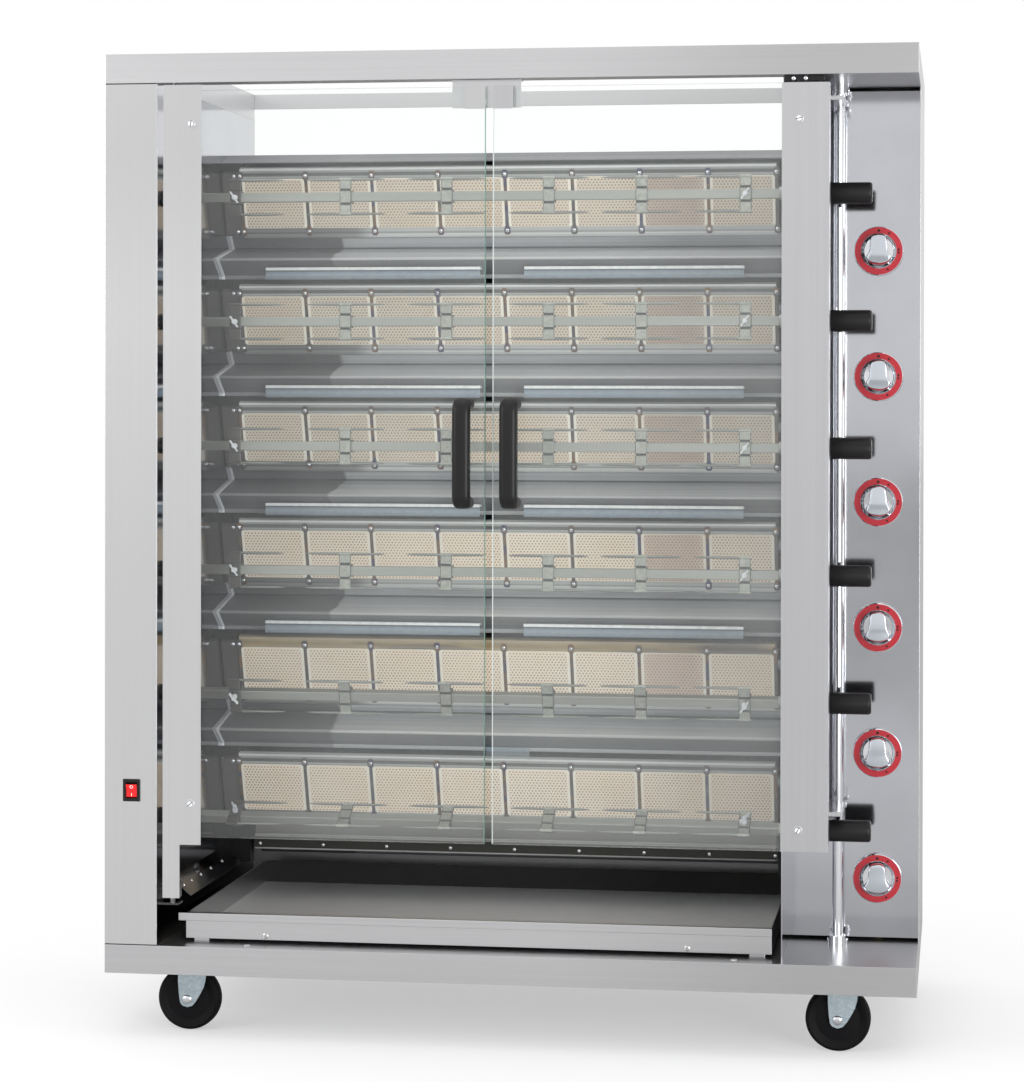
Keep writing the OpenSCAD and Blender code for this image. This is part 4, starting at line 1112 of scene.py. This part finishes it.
for tier in ROWS:
    one = copy_of(knob, f"gas_knob_{tier}", stand(1100, PANEL_Y, spit_z(tier) - 79) @ FRONT)
    fit(one, f"knob_{tier}", "chrome")
    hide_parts(f"knob_{tier}")
drop(knob)
print("knob faces:", len(one.data.polygons))

# %% [markdown]
# ## Door handles
# A bow handle has one rounded section all along. That section starts at the lower foot, runs
# out from the glass, is spun round the first bend, runs up, and is spun back to the glass.

# %% Bow handle
section = disc("bow", 8, 24)
settle(section, turned(7.5, "Z"))
with editing(section, "VERT"):
    for axis, shift in ((0, 5), (1, 0.5)):
        for side in (-1, 1):
            choose(section, lambda place: place[axis] * side > 0, "verts")
            step = Vector((0, 0, 0))
            step[axis] = side * shift * MM
            bpy.ops.transform.translate(value=step)
settle(section, move(0, 0, -69.5) @ FRONT)
with editing(section):
    extrude((0, -24, 0))
    for height, onwards in ((-58, (0, 0, 116)), (58, (0, 24, 0))):
        bpy.ops.mesh.spin(steps=7, angle=math.radians(90), axis=(1, 0, 0),
                          center=(0, -24 * MM, height * MM))
        extrude(onwards)
    bpy.ops.mesh.select_all(action="DESELECT")
    bpy.ops.mesh.select_interior_faces()
    bpy.ops.mesh.delete(type="ONLY_FACE")
mend(section)
smooth(section, 50)
for name, x in (("left", 525), ("right", 592)):
    bow = copy_of(section, f"{name}_bow", stand(x, GLASS_Y, 751))
    fit(bow, f"{name}_door", "black_plastic", black_plastic)
    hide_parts(f"{name}_handle")
drop(section)
print("handle from", [round(v) for v in drawn(bow.bound_box[0])], "to",
      [round(v) for v in drawn(bow.bound_box[6])])

# %% [markdown]
# ## Stile screws, marks and small fittings
# The doors' stiles are held by round-head screws with a slot, and the slot is a dark bar,
# a painted shade. The switch carries a ring and a bar for off and on, collars hold the post
# with two set screws each, and a black stop strip with two screws sits over the right stile.
# Thin dark strips along the joints of the drive cabinet's panel are a painted shadow. Each is
# one small solid, copied where it is needed.

# %% Round-head screws
# painted shade: the slot is a dark bar on the head, for the shade inside a slot
painted_slot_shade = coat(block("painted_slot_shade", (-4.6, -0.5, 3.1), (4.6, 0.5, 3.66)), dark_steel)
head = join("head", coat(dome("head", 6.3, 3.6, 28), painted_bright), painted_slot_shade)
for door, x, z, angle in (("left_door", 126.5, 246, 40), ("left_door", 126.5, 1221, 80),
                          ("right_door", 995, 228, 60), ("right_door", 995, 1219, 15)):
    matrix = stand(x, 1.2, z) @ FRONT @ turned(angle, "Z")
    fit(copy_of(head, f"stile_screw_{door}_{z}", matrix), door, "chrome")
small_head = dome("small_head", 3.4, 2.2, 14)
scatter("set_screws", small_head,
        [stand(1044 + side * 12.6, 164, z) @ RIGHT @ turned(180 * (side < 0), "X")
         for z in (48, 1273) for side in (-1, 1)], "root", "chrome", chrome)
print("4 stile screws and 4 set screws")

# %% Painted shadow lines and the stop strip
low, high = map(drawn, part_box("drive_front_panel"))
# painted shadow: thin dark strips along the top and bottom joints of the panel
painted_shadows = [block("painted_shadow", (low.x + 0.4, low.y - 0.12, z - 0.7), (high.x, low.y + 0.3, z + 0.7))
         for z in (low.z + 0.7, high.z - 0.7)]
fit(settle(join("painted_joint_shadows", *painted_shadows), stand(0, 0, 0)), "root", "rubber", dark_steel)
stop = block("stop", (974, 5, 1271), (1030, 9, 1279), 0.8)
fit(settle(stop, stand(0, 0, 0)), "root", "black_plastic", black_plastic)
scatter("stop_screws", small_head, [stand(x, 5, 1275) @ FRONT for x in (987, 1004)],
        "root", "chrome", chrome)
drop(head, small_head)
print("joints at", round(low.z), "and", round(high.z), "mm")

# %% Polished edges of the panes, one with a painted highlight
edge_green = cast("pane_edge_green", (96, 138, 126), (116, 156, 144), 0.0, 0.3)
edge_highlight = cast("pane_edge_highlight", (196, 206, 204), (222, 230, 228), 0.0, 0.4)
# the left pane's edge shows the green of the glass; the right pane's near-white edge is a painted
# highlight
for door, side, material in (("left", 1, edge_green), ("right", 0, edge_highlight)):
    low, high = map(drawn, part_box(f"{door}_glass"))
    x = (low.x, high.x)[side]
    edge = block(f"{door}_pane_edge", (x - 0.6 * side - 0.05, low.y - 0.05, low.z + 1),
                 (x + 0.6 * (1 - side) + 0.05, high.y + 0.05, high.z - 1))
    fit(settle(edge, stand(0, 0, 0)), f"{door}_door", "glass", material)
print("panes", round(high.z - low.z), "mm high")

# %% Marks on the switch
paint = cast("mark_paint", (236, 236, 232), (250, 250, 246), 0.0, 0.5)
ring = primitive("ring", bpy.ops.mesh.primitive_torus_add, major_radius=2.1 * MM,
                 minor_radius=0.45 * MM, major_segments=24, minor_segments=8)
bar_mark = block("bar_mark", (-0.45, -2.2, -0.3), (0.45, 2.2, 0.3), 0.15, 1)
tilt = stand(40, 3, 264) @ turned(8, "X")
settle(ring, tilt @ move(0, -4.75, 5.6) @ turned(10.8, "X") @ FRONT)
settle(bar_mark, tilt @ move(0, -4.75, -5.6) @ turned(-10.8, "X") @ FRONT)
fit(join("switch_marks", ring, bar_mark), "rocker", "red_plastic", paint)
print("marks: a ring and a bar")

# %% [markdown]
# ## Drip tray
# The tray is a merged copy of the CAD pan, because its floor has another look than its front:
# grey and dull from grease. A long lip hangs over the front wall and reaches past its ends.

# %% Tray
pan = mend(copy_of(nodes["drip_tray"], "tray_pan", Matrix.Identity(4)), 0.02)
pan.data.materials.clear()
coat(pan, steel_across, tray_dark, painted_tray_shade)
recolour(pan, 1, lambda middle, normal: normal.z > 0.9 and drawn(middle).z < 60)
# the back wall, facing forward, takes the dark painted shade
recolour(pan, 2, lambda middle, normal: normal.y < -0.7 and drawn(middle).y > 400)
rounded(pan, 0.5, 2, 40)
fit(pan, "drip_tray", "polished_steel")
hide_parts("drip_tray")
lip = block("tray_lip", (99, 38.2, 71.5), (957.4, 40.4, 82.9), 0.8, 3)
fit(settle(lip, stand(0, 0, 0)), "drip_tray", "polished_steel", steel_across)
deck_rivet = dome("deck_rivet", 4.5, 1.6, 20)
scatter("deck_rivets", deck_rivet, [stand(x, 22, 41) for x in (205, 905)], "root",
        "zinc_plate", steel_mirror)
scatter("tray_rivets", deck_rivet, [stand(x, 40, 52) @ FRONT for x in (228, 838)], "drip_tray",
        "zinc_plate", steel_mirror)
drop(deck_rivet)
print("pan", round(pan.dimensions.x / MM), "mm wide, lip", round(lip.dimensions.x / MM))

# %% [markdown]
# ## Castors
# The fork's leg is an outline of points, straight at the back and curved in front, filled and
# pulled back to the thickness of the sheet. The wheel is a turned tyre with a raised shoulder.

# %% Castor parts
AXLE_X, AXLE_Z = -26, -46
leg_outline = [(-11, -5), (-7.5, -9.6), (0, -12), (7.5, -9.6), (13, -3), (19, 7), (24, 16.5),
               (27, 27), (28, 38), (29.5, 50), (35, 60), (47, 68.6), (5, 68.6), (-10, 60),
               (-13.6, 48), (-14, 26), (-13, 10)]
leg = plate("leg", [(x + AXLE_X, z + AXLE_Z) for x, z in leg_outline], 2.5)
legs = [copy_of(leg, "leg", move(0, y, 0)) for y in (-18.5, 16)]
crown = smooth(lathe("crown", [(13, 2), (19, 9), (20.6, 16), (21, 25.6)], 32), 40)
bridge = block("bridge", (-21, -18.5, 22.4), (21, 18.5, 25.6), 0.8)
castor = join("castor", *legs, crown, bridge)
tyre_half = [(41, -13.6), (44.6, -10.4), (46, -6)]
tyre_rings = [(7, -14), (13, -14), (14.2, -12), (31, -9.6), (38, -12.6)] + tyre_half
tyre_rings += [(radius, -height) for radius, height in reversed(tyre_rings)]
axle = move(AXLE_X, 0, AXLE_Z)
tyre = smooth(settle(lathe("tyre", tyre_rings, 64), axle @ FRONT), 30)
nut_rings = [(5, 18.4), (7, 18.4), (7, 20.4), (5.6, 21.8), (2, 22.4)]
bolt = [settle(lathe("bolt", nut_rings, 16), axle @ way) for way in (FRONT, FRONT.inverted())]
bolt.append(settle(lathe("axle", [(4, -20), (4, 20)], 16), axle @ FRONT))
bolt = smooth(join("bolt", *bolt), 40)
for row, y in (("front", 74), ("rear", 526)):
    for side, x in (("left", 134), ("right", 1075)):
        spot = stand(x, y, 0)
        corner = f"{row}_{side}"
        fork = fit(copy_of(castor, f"castor_fork_{corner}", spot), f"castor_{corner}",
                   "zinc_plate", zinc_castor)
        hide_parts(f"fork_{corner}")
        wheel = fit(copy_of(tyre, f"tyre_{corner}", spot), f"wheel_{corner}", "rubber", rubber)
        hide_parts(f"wheel_{corner}")
        fit(copy_of(bolt, f"axle_bolt_{corner}", spot), f"castor_{corner}", "zinc_plate", chrome)
print("castor wheels of", round(tyre.dimensions.z / MM), "mm")
drop(leg, castor, tyre, bolt)
